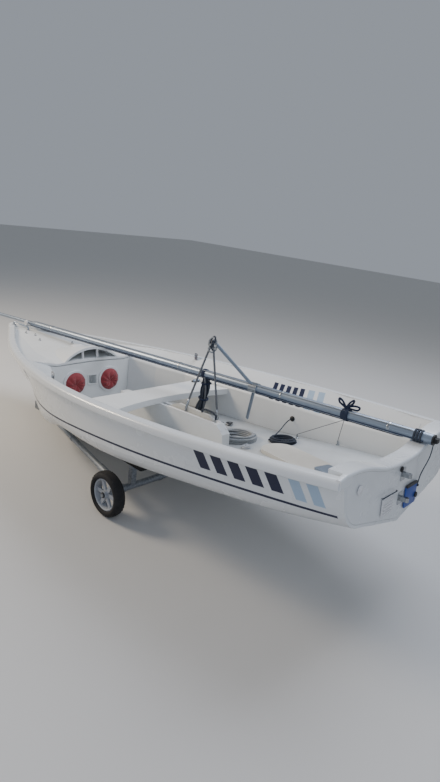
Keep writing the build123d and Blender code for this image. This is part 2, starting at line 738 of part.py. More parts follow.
# Nose block on the ground under the forefoot, the frame's two tubes and their sleeves
NOSE_X, NOSE_LENGTH, NOSE_WIDTH, NOSE_HEIGHT = 580.0, 100.0, 150.0, 66.0
FRAME_Y, FRAME_Z = 575.0, WHEEL_RADIUS + AXLE_RADIUS + TUBE_RADIUS + 0.8
NOSE_TUBE_Y, NOSE_TUBE_Z = 40.0, 36.0
SLEEVE_RADIUS, SLEEVE_LENGTH = 27.0, 330.0
with BuildPart() as trolley_nose:
    with BuildSketch(Plane(origin=ground(NOSE_X + NOSE_LENGTH / 2, 0, 0), x_dir=(1, 0, 0), z_dir=(0, 0, 1))):
        RectangleRounded(NOSE_LENGTH, NOSE_WIDTH, 20)
    extrude(amount=NOSE_HEIGHT)
save(trolley_nose.part, "trolley_nose")

TUBE_END_X = ground(NOSE_X + NOSE_LENGTH - 30.0, 0, 0).X


def tube_ends(hand):
    """Rear and front end of a frame tube's centre line."""
    return Vector(AXLE_X, hand * FRAME_Y, FRAME_Z), Vector(TUBE_END_X, hand * NOSE_TUBE_Y, NOSE_TUBE_Z)


for side, hand in (("port", -1), ("starboard", 1)):
    rear, front = tube_ends(hand)
    with BuildPart() as frame_tube:
        with BuildSketch(toward(rear, front)):
            Circle(TUBE_RADIUS)
        extrude(amount=(front - rear).length)
        add(trolley_nose.part, mode=Mode.SUBTRACT)
    save(frame_tube.part, f"frame_tube_{side}")

with BuildPart() as frame_sleeves:
    for hand in (-1, 1):
        rear, front = tube_ends(hand)
        with BuildSketch(toward(rear, front)):
            Circle(SLEEVE_RADIUS)
            Circle(TUBE_RADIUS, mode=Mode.SUBTRACT)
        extrude(amount=SLEEVE_LENGTH)
    with BuildSketch(wheel_plane(0)):
        Circle(AXLE_RADIUS)
    extrude(amount=SHOULDER, both=True, mode=Mode.SUBTRACT)
save(frame_sleeves.part, "frame_sleeves")

# Cross member between the frame tubes
CROSS_X, CROSS_RADIUS = 1500.0, 15.0
share = (AXLE_X - ground(CROSS_X, 0, 0).X) / (AXLE_X - TUBE_END_X)
cross_y = FRAME_Y - share * (FRAME_Y - NOSE_TUBE_Y)
cross_z = FRAME_Z - share * (FRAME_Z - NOSE_TUBE_Z)
with BuildPart() as cross_member:
    with BuildSketch(Plane(origin=ground(CROSS_X, 0, cross_z), x_dir=(1, 0, 0), z_dir=(0, 1, 0))):
        Circle(CROSS_RADIUS)
    extrude(amount=cross_y, both=True)
    for hand in (-1, 1):
        rear, front = tube_ends(hand)
        with BuildSketch(toward(rear, front)):
            Circle(TUBE_RADIUS)
        extrude(amount=(front - rear).length, mode=Mode.SUBTRACT)
save(cross_member.part.solids().sort_by(SortBy.VOLUME)[-1], "cross_member")

# Supports under the hull: x, half spread, foot z, top of the post, post size, pad length and width
AXLE_TOP = WHEEL_RADIUS + AXLE_RADIUS - 3.0
SUPPORTS = (
    ("bilge", AXLE_X, 455.0, AXLE_TOP, 329.0, 44.0, 260.0, 80.0),
    ("keel", AXLE_X, 0.0, AXLE_TOP, 304.0, 50.0, 200.0, 110.0),
    ("forefoot", ground(NOSE_X + NOSE_LENGTH / 2, 0, 0).X, 0.0, NOSE_HEIGHT, 160.0, 44.0, 96.0, 150.0),
)
PAD_REACH = 130.0
for name, x, spread, foot, top, size, pad_length, pad_width in SUPPORTS:
    places = [(0, -spread), (0, spread)] if spread else [(0, 0)]
    with BuildPart() as post:
        with BuildSketch(upright(x, 0, foot)):
            with Locations(*places):
                RectangleRounded(size, size, 6)
        extrude(amount=top - foot)
        with BuildSketch(wheel_plane(0)):
            Circle(AXLE_RADIUS)
        extrude(amount=SHOULDER, both=True, mode=Mode.SUBTRACT)
    save(post.part, f"{name}_post")
    with BuildPart() as pad:
        with BuildSketch(upright(x, 0, top)):
            with Locations(*places):
                RectangleRounded(pad_length, pad_width, 10)
        extrude(amount=PAD_REACH)
        add(OUTER_FORM, mode=Mode.SUBTRACT)
    lowest = pad.part.solids().sort_by(Axis.Z)[:len(places)]
    save(Compound(children=lowest) if len(lowest) > 1 else lowest[0], f"{name}_pad")

# Wheels: rim with spokes and hub, tyre, washer that keeps the hub on its stub
RIM_HALF, RIM_WALL, HUB_RADIUS, SPOKES = 28.0, 11.0, 26.0, 6
SPOKE_WIDTH, SPOKE_THICK, SPOKE_OUT, SPOKE_ROOT = 26.0, 14.0, 7.0, 6.0
WASHER_RADIUS, WASHER_THICK, WASHER_GAP = 19.0, 6.0, 0.8
TYRE_BODY = ((111.0, 30.0), (127.0, 42.5), (143.0, 36.0), (152.5, 23.0), (WHEEL_RADIUS, 0.0))
for side, hand in (("port", -1), ("starboard", 1)):
    middle = hand * TRACK_HALF
    with BuildPart() as rim:
        with BuildSketch(wheel_plane(middle)):
            Circle(RIM_RADIUS)
            Circle(RIM_RADIUS - RIM_WALL, mode=Mode.SUBTRACT)
        extrude(amount=RIM_HALF, both=True)
        with BuildSketch(wheel_plane(middle)):
            Circle(HUB_RADIUS)
        extrude(amount=HUB_HALF, both=True)
        with BuildSketch(wheel_plane(middle + hand * SPOKE_OUT)):
            with PolarLocations((RIM_RADIUS - RIM_WALL + HUB_RADIUS) / 2, SPOKES):
                Rectangle(RIM_RADIUS - RIM_WALL - HUB_RADIUS + 2 * SPOKE_ROOT, SPOKE_WIDTH)
        extrude(amount=SPOKE_THICK / 2, both=True)
        with BuildSketch(wheel_plane(middle)):
            Circle(STUB_RADIUS + RUNNING)
        extrude(amount=HUB_HALF, both=True, mode=Mode.SUBTRACT)
    save(rim.part, f"rim_{side}")
    with BuildPart() as tyre:
        with BuildSketch(Plane(origin=(AXLE_X, middle, WHEEL_RADIUS), x_dir=(0, 0, 1), z_dir=(1, 0, 0))):
            with BuildLine():
                for flip in (1, -1):
                    (r0, w0), (r1, w1), (r2, w2), (r3, w3), (r4, w4) = TYRE_BODY
                    ThreePointArc((r0, flip * w0), (r1, flip * w1), (r2, flip * w2))
                    ThreePointArc((r2, flip * w2), (r3, flip * w3), (r4, flip * w4))
                Line((r0, w0), (r0, -w0))
            make_face()
        revolve(axis=Axis((AXLE_X, middle, WHEEL_RADIUS), (0, 1, 0)))
    save(tyre.part, f"tyre_{side}")

with BuildPart() as wheel_washers:
    for hand in (-1, 1):
        with BuildSketch(wheel_plane(hand * (TRACK_HALF + HUB_HALF + WASHER_GAP))):
            Circle(WASHER_RADIUS)
            Circle(STUB_RADIUS, mode=Mode.SUBTRACT)
        extrude(amount=hand * WASHER_THICK)
save(wheel_washers.part, "wheel_washers")



def on_sole(s, y, turn, reach):
    """Plane resting on the sole over s plus and minus reach, its local x aft, turned to starboard."""
    fore, aft = sole(s - reach), sole(s + reach)
    rise = (aft - fore) / (2 * reach)
    heading = (AFT + UP * rise) * cos(radians(turn)) + STARBOARD * sin(radians(turn))
    return Plane(origin=at(s, y, (fore + aft) / 2), x_dir=heading, z_dir=UP - AFT * rise)


# Rudder blade with its stock, and the tiller, stowed on the cockpit sole
BLADE_S, BLADE_Y, BLADE_TURN, BLADE_REACH = 3530.0, 90.0, -20.0, 400.0
BLADE_LENGTH, BLADE_WIDTH, BLADE_THICK = 600.0, 220.0, 24.0
STOCK_PLACE, STOCK_LENGTH, STOCK_WIDTH, STOCK_THICK = 345.0, 150.0, 110.0, 44.0
TILLER_S, TILLER_Y, TILLER_TURN = 3450.0, -300.0, 3.0
TILLER_LENGTH, TILLER_WIDTH, TILLER_THICK = 820.0, 34.0, 28.0
with BuildPart() as rudder_blade:
    with BuildSketch(on_sole(BLADE_S, BLADE_Y, BLADE_TURN, BLADE_REACH)):
        SlotOverall(BLADE_LENGTH, BLADE_WIDTH)
    extrude(amount=BLADE_THICK)
save(rudder_blade.part, "rudder_blade")
with BuildPart() as rudder_stock:
    with BuildSketch(on_sole(BLADE_S, BLADE_Y, BLADE_TURN, BLADE_REACH)):
        with Locations((STOCK_PLACE, 0)):
            RectangleRounded(STOCK_LENGTH, STOCK_WIDTH, 12)
    extrude(amount=STOCK_THICK)
    add(rudder_blade.part, mode=Mode.SUBTRACT)
save(rudder_stock.part, "rudder_stock")
with BuildPart() as tiller:
    with BuildSketch(on_sole(TILLER_S, TILLER_Y, TILLER_TURN, TILLER_LENGTH / 2)):
        RectangleRounded(TILLER_LENGTH, TILLER_WIDTH, 8)
    extrude(amount=TILLER_THICK)
save(tiller.part, "tiller")

# Sheets coiled down on the sole: name, station, y, half length, half width, band width, height
COILS = (
    ("mainsheet_coil", 2970.0, 190.0, 160.0, 145.0, 85.0, 48.0),
    ("jib_sheet_coil", 3240.0, 360.0, 110.0, 98.0, 60.0, 36.0),
)
for name, s, y, half_length, half_width, band, height in COILS:
    with BuildPart() as coil:
        with BuildSketch(on_sole(s, y, 0.0, half_length)):
            Ellipse(half_length, half_width)
            Ellipse(half_length - band, half_width - band, mode=Mode.SUBTRACT)
        extrude(amount=height)
    save(coil.part, name)

# Line left hanging from the mast heel down the transom, with its stopper knot
LINE_RADIUS, KNOT_RADIUS = 3.0, 8.0
LINE_ROUTE = [at(*place) for place in (
    (4307.0, 269.7, 422.4),
    (4305.0, 266.0, 375.0),
    (4297.0, 250.0, 328.0),
    (4286.0, 228.0, 284.0),
    (4280.0, 208.0, 242.0),
    (4279.0, 200.0, 204.0),
)]


def arc_radii(points):
    """Radius of the arc at each inner point, as large as its two runs allow."""
    radii = []
    for before, here, after in zip(points, points[1:], points[2:]):
        turn = radians((here - before).get_angle(after - here))
        run = min((here - before).length, (after - here).length)
        radii.append(0.45 * run / tan(turn / 2))
    return radii


print("transom_line radii", [round(radius) for radius in arc_radii(LINE_ROUTE)])
with BuildPart() as transom_line:
    with BuildLine() as line_route:
        FilletPolyline(*LINE_ROUTE, radius=arc_radii(LINE_ROUTE))
    with BuildSketch(Plane(origin=LINE_ROUTE[0], x_dir=STARBOARD, z_dir=LINE_ROUTE[1] - LINE_ROUTE[0])):
        Circle(LINE_RADIUS)
    sweep(path=line_route.line)
save(transom_line.part, "transom_line")
with BuildPart() as transom_line_knot:
    with Locations(LINE_ROUTE[-1] - UP * (KNOT_RADIUS - LINE_RADIUS)):
        Sphere(KNOT_RADIUS)
    add(transom_line.part, mode=Mode.SUBTRACT)
save(transom_line_knot.part, "transom_line_knot")
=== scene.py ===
"""Looks of a fourteen-foot sailing dinghy with its mast lowered, parked on its launching trolley."""

import json
import logging
import math
from dataclasses import dataclass, field
from enum import Enum

import bmesh
import bpy
from mathutils import Matrix, Vector
from mathutils.bvhtree import BVHTree

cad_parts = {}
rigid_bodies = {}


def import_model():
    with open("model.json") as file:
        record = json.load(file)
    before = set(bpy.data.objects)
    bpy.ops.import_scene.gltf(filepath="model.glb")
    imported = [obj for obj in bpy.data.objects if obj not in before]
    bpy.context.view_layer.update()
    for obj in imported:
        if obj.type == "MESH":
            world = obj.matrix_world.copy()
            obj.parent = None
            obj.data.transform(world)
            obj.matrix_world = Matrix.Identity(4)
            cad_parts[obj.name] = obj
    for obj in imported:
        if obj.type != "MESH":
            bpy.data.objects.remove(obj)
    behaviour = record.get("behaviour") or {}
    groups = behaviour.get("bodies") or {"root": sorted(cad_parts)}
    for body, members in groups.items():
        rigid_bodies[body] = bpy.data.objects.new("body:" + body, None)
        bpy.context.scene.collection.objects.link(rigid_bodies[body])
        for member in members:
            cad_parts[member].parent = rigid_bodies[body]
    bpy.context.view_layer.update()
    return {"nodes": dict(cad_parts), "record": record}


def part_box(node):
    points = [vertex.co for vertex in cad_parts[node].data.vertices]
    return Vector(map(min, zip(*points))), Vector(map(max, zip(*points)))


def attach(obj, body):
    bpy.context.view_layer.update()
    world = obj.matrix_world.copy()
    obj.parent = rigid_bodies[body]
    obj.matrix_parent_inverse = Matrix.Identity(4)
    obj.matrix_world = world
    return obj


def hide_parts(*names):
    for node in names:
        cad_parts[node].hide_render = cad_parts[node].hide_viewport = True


logging.basicConfig(level=logging.INFO, format="%(message)s")
LOG = logging.getLogger("dinghy")

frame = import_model()

MM = 0.001
# A span too small to matter, which keeps a division away from zero.
HAIR = 1e-9
TO_STARBOARD = Vector((0, 1, 0))
STRAIGHT_UP = Vector((0, 0, 1))

# A wave texture of this scale has bands a metre wide: along an axis, and along the diagonal.
WAVE_BAND = 0.314
WAVE_BAND_DIAGONAL = 0.363

Tree = bpy.types.NodeTree
Socket = bpy.types.NodeSocket
Pair = tuple[float, float]
Place = tuple[float, float, float]
Profile = tuple[Pair, ...]


def linear(hex_colour: str) -> tuple[float, float, float, float]:
    """Turns an sRGB hex colour into linear RGBA.

    Args:
        hex_colour: Six hex digits, with or without a leading hash.

    Returns:
        The colour as linear red, green, blue and alpha.
    """
    digits = hex_colour.lstrip("#")
    channels = [int(digits[i:i + 2], 16) / 255 for i in (0, 2, 4)]
    curve = [c / 12.92 if c <= 0.04045 else ((c + 0.055) / 1.055) ** 2.4 for c in channels]
    return (curve[0], curve[1], curve[2], 1.0)


def add_node(tree: Tree, kind: str, inputs: dict | None = None, **settings: object) -> bpy.types.Node:
    """Adds one node with its settings and links.

    Args:
        tree: The node tree that gets the node.
        kind: The node's type name.
        inputs: Socket name or number to a value, or to the output socket that feeds it.
        **settings: Properties of the node itself.

    Returns:
        The new node.
    """
    node = tree.nodes.new(kind)
    for key, value in settings.items():
        setattr(node, key, value)
    for key, value in (inputs or {}).items():
        if isinstance(value, Socket):
            tree.links.new(value, node.inputs[key])
        else:
            node.inputs[key].default_value = value
    return node


@dataclass(frozen=True)
class Finish:
    """A surface with one base colour, mottled a little, and a fine bump.

    Sizes are in millimetres. The slot is the record's material slot that a piece of it is declared in.
    """

    name: str
    colour: str
    worn: str
    roughness: float
    slot: str = ""
    metallic: float = 0.0
    ior: float = 1.5
    patch: float = 180.0
    wear: float = 0.35
    grain: float = 2.0
    bump: float = 0.08
    coat: float = 0.0
    sheen: float = 0.0
    gloss_patch: float = 0.4
    gloss_low: float = 0.85
    gloss_high: float = 1.2

    def position(self, tree: Tree) -> Socket:
        """Returns the object's own coordinates, in metres."""
        return add_node(tree, "ShaderNodeTexCoord").outputs["Object"]

    def noise(self, tree: Tree, size: float, detail: float = 3.0, stretch: Place = (1.0, 1.0, 1.0)
              ) -> Socket:
        """Adds a noise whose blotches are about a given size.

        Args:
            tree: The material's node tree.
            size: Blotch size in millimetres.
            detail: Octaves of finer noise.
            stretch: How much longer the blotches are along each axis.

        Returns:
            The noise's value socket.
        """
        scale = [1.0 / s for s in stretch]
        mapping = add_node(tree, "ShaderNodeMapping", {"Vector": self.position(tree), "Scale": scale})
        return add_node(tree, "ShaderNodeTexNoise", {
            "Vector": mapping.outputs[0], "Scale": 1.0 / (size * MM), "Detail": detail,
            "Roughness": 0.6}).outputs[0]

    def blend(self, tree: Tree, amount: Socket, low: float, high: float, second: str,
              first: Socket | None = None, most: float = 1.0) -> Socket:
        """Mixes two colours where a value passes from low to high.

        Args:
            tree: The material's node tree.
            amount: The value that chooses between the colours.
            low: Where the second colour starts.
            high: Where the second colour is at its most.
            second: The second colour, in hex.
            first: The colour below low, or the base colour where none is given.
            most: How much of the second colour there is at its most.

        Returns:
            The mixed colour's socket.
        """
        ramp = add_node(tree, "ShaderNodeMapRange", {
            "Value": amount, "From Min": low, "From Max": high, "To Max": most})
        mix = add_node(tree, "ShaderNodeMix", {
            "Factor": ramp.outputs[0], 6: first or linear(self.colour), 7: linear(second)},
            data_type="RGBA")
        return mix.outputs[2]

    def tint(self, tree: Tree) -> Socket:
        """Returns the colour socket: base colour with worn patches."""
        full = 0.5 + 0.5 / max(self.wear, 0.05)
        return self.blend(tree, self.noise(tree, self.patch), 0.5, full, self.worn)

    def relief(self, tree: Tree) -> Socket:
        """Returns the height socket of the fine surface grain."""
        return self.noise(tree, self.grain)

    def material(self) -> bpy.types.Material:
        """Builds the material once and returns it.

        Returns:
            The material named after this finish.
        """
        known = bpy.data.materials.get(self.name)
        if known is not None:
            return known
        material = bpy.data.materials.new(self.name)
        material.use_nodes = True
        tree = material.node_tree
        shader = tree.nodes["Principled BSDF"]
        tree.links.new(self.tint(tree), shader.inputs["Base Color"])
        rough = add_node(tree, "ShaderNodeMapRange", {
            "Value": self.noise(tree, self.patch * self.gloss_patch),
            "To Min": self.roughness * self.gloss_low,
            "To Max": min(1.0, self.roughness * self.gloss_high)})
        tree.links.new(rough.outputs[0], shader.inputs["Roughness"])
        height = add_node(tree, "ShaderNodeBump", {
            "Height": self.relief(tree), "Strength": self.bump, "Distance": self.grain * MM})
        tree.links.new(height.outputs[0], shader.inputs["Normal"])
        shader.inputs["Metallic"].default_value = self.metallic
        if not self.metallic:
            shader.inputs["IOR"].default_value = self.ior
        shader.inputs["Coat Weight"].default_value = self.coat
        shader.inputs["Sheen Weight"].default_value = self.sheen
        return material


@dataclass(frozen=True)
class Gelcoat(Finish):
    """Pigmented resin over glass fibre, faintly darker low down, which is painted shade on the hull; the
    darkening's heights are in metres.
    """

    # Darkening low down, painted shade on the hull: its colour, the height where it starts, how far it
    # fades and its strongest share.
    grime: str = "#8f8d84"
    grime_top: float = 0.33
    grime_fade: float = 0.14
    grime_most: float = 0.42
    ragged: float = 0.16
    streak: float = 90.0
    streak_stretch: Place = (3.0, 3.0, 1.0)

    def tint(self, tree: Tree) -> Socket:
        """Builds off-white with weathered blotches and a darkening rising from below, which is painted
        shade on the hull.

        Args:
            tree: The material's node tree.

        Returns:
            The colour socket.
        """
        body = Finish.tint(self, tree)
        # Darken towards the bottom with a ragged edge: painted shade on the hull.
        height = add_node(tree, "ShaderNodeSeparateXYZ", {"Vector": self.position(tree)}).outputs[2]
        edge = add_node(tree, "ShaderNodeMath", {
            0: self.noise(tree, self.streak, 4.0, self.streak_stretch), 1: self.ragged,
            2: -self.ragged / 2}, operation="MULTIPLY_ADD")
        level = add_node(tree, "ShaderNodeMath", {0: height, 1: edge.outputs[0]}, operation="SUBTRACT")
        return self.blend(tree, level.outputs[0], self.grime_top, self.grime_top - self.grime_fade,
                          self.grime, body, self.grime_most)


@dataclass(frozen=True)
class Galvanised(Finish):
    """Hot-dip zinc on steel tube, with a crystal spangle."""

    spangle: float = 9.0

    def tint(self, tree: Tree) -> Socket:
        """Builds the zinc grey, one shade for each crystal.

        Args:
            tree: The material's node tree.

        Returns:
            The colour socket.
        """
        cells = add_node(tree, "ShaderNodeTexVoronoi", {
            "Vector": self.position(tree), "Scale": 1.0 / (self.spangle * MM)})
        value = add_node(tree, "ShaderNodeSeparateColor", {0: cells.outputs["Color"]}).outputs[0]
        return self.blend(tree, value, 0.0, 1.0, self.worn)


@dataclass(frozen=True)
class Woven(Finish):
    """Cloth with crossing threads, drawn coarser than real ones so that the weave shows."""

    thread: float = 1.6

    def relief(self, tree: Tree) -> Socket:
        """Builds the height of warp and weft.

        Args:
            tree: The material's node tree.

        Returns:
            The height socket.
        """
        waves = []
        for direction in ("X", "Z"):
            wave = add_node(tree, "ShaderNodeTexWave", {
                "Vector": self.position(tree), "Scale": WAVE_BAND / (self.thread * MM),
                "Distortion": 0.6, "Detail": 1.0}, bands_direction=direction)
            waves.append(wave.outputs["Fac"])
        return add_node(tree, "ShaderNodeMath", {0: waves[0], 1: waves[1]}, operation="ADD").outputs[0]


@dataclass(frozen=True)
class Braid(Finish):
    """Plaited rope: slanting strands with a fleck, drawn coarser than real ones so that they show."""

    strand: float = 5.0

    def stripes(self, tree: Tree) -> Socket:
        """Adds a value that runs across the slanting strands.

        Args:
            tree: The material's node tree.

        Returns:
            The value's socket.
        """
        wave = add_node(tree, "ShaderNodeTexWave", {
            "Vector": self.position(tree), "Scale": WAVE_BAND_DIAGONAL / (self.strand * MM),
            "Distortion": 1.5, "Detail": 1.0}, bands_direction="DIAGONAL")
        return wave.outputs["Fac"]

    def tint(self, tree: Tree) -> Socket:
        """Returns the rope's colour with its fleck."""
        return self.blend(tree, self.stripes(tree), 0.45, 0.8, self.worn)

    def relief(self, tree: Tree) -> Socket:
        """Returns the height socket of the strands."""
        return self.stripes(tree)


class Finishes:
    """Every finish on the dinghy, by the maker's plain name."""

    # Gelcoat moulded against a polished tool: a soft broad gloss, chalky in places, darker low down with
    # painted shade.
    hull = Gelcoat("gelcoat_offwhite", "#d9dcdd", "#cfd0cc", 0.26, "gelcoat", coat=0.25, patch=420.0,
                   wear=0.5, grain=14.0, bump=0.03)
    # The same gelcoat on the decks, weathered by sun and wear: duller, with smaller blotches.
    deck = Finish("gelcoat_deck", "#dcdedd", "#cdccc6", 0.34, "gelcoat", coat=0.1, patch=260.0, wear=0.5,
                  grain=6.0, bump=0.04)
    # Gelcoat cast over a pebbled tool for grip: matt and grainy, darker towards its low end.
    sole = Gelcoat("nonslip_deck", "#c3c7c8", "#adaea9", 0.65, "gelcoat", patch=180.0, wear=0.6, grain=3.5,
                   bump=0.25, grime="#7f7d76", grime_top=0.64)
    # Self-adhesive vinyl film: flat even navy with a mild gloss.
    stripe = Finish("vinyl_navy", "#0e1838", "#1a2547", 0.4, "black_plastic", patch=60.0)
    # The same film bleached by the sun: pale, a little uneven.
    faded = Finish("vinyl_pale_blue", "#9fb4c8", "#b9c8d4", 0.45, "white_plastic", patch=50.0)
    # Injection-moulded white nylon: clean, half matt, slightly yellowed in patches.
    moulded = Finish("moulded_white_plastic", "#dadada", "#c6c7c6", 0.42, "white_plastic", patch=60.0,
                     grain=1.0)
    # Injection-moulded black nylon: half matt, with a fine tool grain.
    black = Finish("moulded_black_plastic", "#17181b", "#26272a", 0.5, "black_plastic", patch=40.0,
                   grain=1.0, bump=0.15)
    # Injection-moulded grey plastic of rims and block cheeks: half matt, scuffed lighter and darker.
    rim = Finish("moulded_grey_plastic", "#9a9fa6", "#83878d", 0.5, "grey_plastic", patch=70.0, grain=1.2,
                 bump=0.08)
    # Pressed blue plastic of the drain flap: plain, saturated, half matt.
    blue = Finish("blue_flap_plastic", "#2b4c9a", "#3a5ba6", 0.45, "black_plastic", patch=40.0, grain=1.0)
    # Coated nylon cloth of the bags: soft red with a plain weave and a little sheen.
    red_cloth = Woven("proofed_red_cloth", "#96373c", "#a94d4c", 0.8, "red_cloth", patch=90.0, bump=0.5,
                      sheen=0.2, grain=1.6)
    # Extruded and anodised aluminium of the spars: satin grey in long even stretches, with a cool blue cast
    # that is painted sky reflection.
    mast = Finish("anodised_aluminium", "#8e9aa9", "#a3abb4", 0.38, "anodised", metallic=0.85, patch=300.0,
                  grain=0.8, bump=0.05)
    # The unlit inside of the luff groove: deep blue-grey without gloss.
    groove = Finish("shadowed_luff_groove", "#20304c", "#2c3c58", 0.6, "black_plastic", patch=90.0,
                    grain=1.0)
    # Polished marine steel: bright, sharp highlights on small fittings.
    stainless = Finish("polished_stainless", "#a9adb1", "#8d9196", 0.24, "stainless", metallic=1.0,
                       patch=30.0, grain=0.6)
    # Zinc from the dipping bath: dull blue-grey with crystals that catch the light one by one.
    zinc = Galvanised("galvanised_steel", "#7d828a", "#9aa0a6", 0.48, "galvanised", metallic=0.8,
                      grain=3.0, bump=0.06)
    # Moulded rubber of the trolley's pads: near black, dusty.
    pad = Finish("ribbed_black_rubber", "#1c1d1f", "#2c2c2c", 0.75, "black_rubber", patch=50.0, grain=1.2,
                 bump=0.2)
    # Vulcanised tyre rubber: dull black with brown dust on it.
    tyre = Finish("tyre_rubber", "#1b1b1d", "#35332f", 0.82, "tyre", patch=45.0, wear=0.6, grain=1.5,
                  bump=0.25)
    # Plaited polyester sheet: off-white with a blue-grey fleck.
    rope = Braid("braided_polyester", "#b9b8b2", "#4d5f74", 0.75, "rope", patch=60.0, grain=1.0, bump=0.5)
    # Plaited polyester in navy: almost black, with paler strands where it bends.
    dark_rope = Braid("braided_dark_polyester", "#1c2230", "#39424e", 0.75, "dark_rope", patch=60.0,
                      grain=1.0, bump=0.5)
    # Woven polyester strap: flat navy with crossing threads.
    webbing = Woven("navy_webbing", "#1b2740", "#2a3852", 0.85, "dark_rope", patch=60.0, bump=0.5,
                    grain=1.2)
    # Plastic sleeve drawn over rigging wire: even mid grey, half matt.
    sleeve = Finish("grey_wire_sleeve", "#62656a", "#7f8182", 0.55, "dark_rope", patch=40.0, grain=1.0,
                    bump=0.1)
    # Painted plywood of the rudder and the board: cream, worn to the undercoat in places.
    foil = Finish("painted_plywood_foil", "#c9c6bd", "#b3aea2", 0.4, "white_plastic", patch=120.0,
                  wear=0.6, grain=2.0)
    # Painted studio floor: matt and even.
    floor = Finish("painted_floor", "#c9c8c5", "#c4c3c0", 0.85, patch=900.0, grain=4.0, bump=0.02)


SLOT_FINISH = {finish.slot: finish for finish in (
    Finishes.deck, Finishes.moulded, Finishes.red_cloth, Finishes.mast, Finishes.stainless, Finishes.black,
    Finishes.zinc, Finishes.pad, Finishes.rim, Finishes.tyre, Finishes.rope, Finishes.dark_rope)}


class Side(Enum):
    """The two sides of the boat: the value is the sign of y."""

    PORT = -1
    STARBOARD = 1

    @property
    def word(self) -> str:
        """The side as the pieces' names have it."""
        return self.name.lower()


@dataclass
class BoatFrame:
    """The boat's own coordinates: s aft from the stem, y to starboard, h up from the baseline."""

    bow_down: float = math.radians(5.6)
    base: float = 0.094
    axle_s: float = 2.581
    length: float = 4.270
    half_width: float = 0.840
    widest: float = 2.730
    transom_half: float = 0.671
    entry: float = 0.600
    bow_arc: float = 4.700
    sheer_stern: float = 0.460
    sheer_rise: float = 0.160
    sole_knees: Profile = ((2.400, 0.112), (3.000, 0.116), (3.500, 0.1483), (4.000, 0.1806))
    mast_y: float = 0.0897
    mast_y_slope: float = 0.0418
    mast_h: float = 0.6404
    mast_h_slope: float = -0.0433

    def __post_init__(self) -> None:
        """Works out the shift between the boat's station 0 and the shared frame."""
        low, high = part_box("axle")
        cosine, sine = math.cos(self.bow_down), math.sin(self.bow_down)
        axle_h = ((low.z + high.z) / 2 - self.base - self.axle_s * sine) / cosine
        self.axle_x = (low.x + high.x) / 2
        self.shift = self.axle_x - self.axle_s * cosine + axle_h * sine

    @property
    def up(self) -> Vector:
        """The boat's own up direction."""
        return Vector((-math.sin(self.bow_down), 0, math.cos(self.bow_down)))

    @property
    def aft(self) -> Vector:
        """The boat's own direction aft."""
        return Vector((math.cos(self.bow_down), 0, math.sin(self.bow_down)))

    def at(self, s: float, y: float, h: float) -> Vector:
        """Returns the place of boat coordinates in the shared frame."""
        c, k = math.cos(self.bow_down), math.sin(self.bow_down)
        return Vector((s * c - h * k + self.shift, y, self.base + s * k + h * c))

    def half_beam(self, s: float) -> float:
        """Works out half the width over the rim: straight at the bow, then two arcs.

        Args:
            s: Station.

        Returns:
            The half width.
        """
        if s <= self.entry:
            slope = (self.widest - self.entry) / math.sqrt(self.bow_arc**2 - (self.widest - self.entry)**2)
            return self.half_beam(self.entry + HAIR) - (self.entry - s) * slope
        drop = self.half_width - self.transom_half
        stern_arc = ((self.length - self.widest)**2 + drop**2) / (2 * drop)
        radius = self.bow_arc if s < self.widest else stern_arc
        return self.half_width - radius + math.sqrt(radius**2 - (self.widest - s)**2)

    def sheer(self, s: float) -> float:
        """Returns the height of the rim's top at station s."""
        return self.sheer_stern + self.sheer_rise * (1 - s / self.length)**2

    def sole(self, s: float) -> float:
        """Works out the cockpit sole's height, straight between its knees.

        Args:
            s: Station.

        Returns:
            The height there.
        """
        knees = self.sole_knees
        k = next(i for i in range(len(knees) - 1) if s <= knees[i + 1][0])
        (s0, h0), (s1, h1) = knees[k], knees[k + 1]
        return h0 + (h1 - h0) * (s - s0) / (s1 - s0)

    def mast(self, s: float) -> Vector:
        """Returns the lowered mast's centre above station s."""
        return self.at(s, self.mast_y + self.mast_y_slope * s, self.mast_h + self.mast_h_slope * s)


BOAT = BoatFrame()


def turns(count: int) -> list[float]:
    """Returns angles spread evenly round one full turn."""
    return [2 * math.pi * k / count for k in range(count)]


def oval(centre: Vector, first: Vector, second: Vector, count: int) -> list[Vector]:
    """Returns points round an oval that is given by its middle and its two half axes."""
    return [centre + first * math.cos(a) + second * math.sin(a) for a in turns(count)]


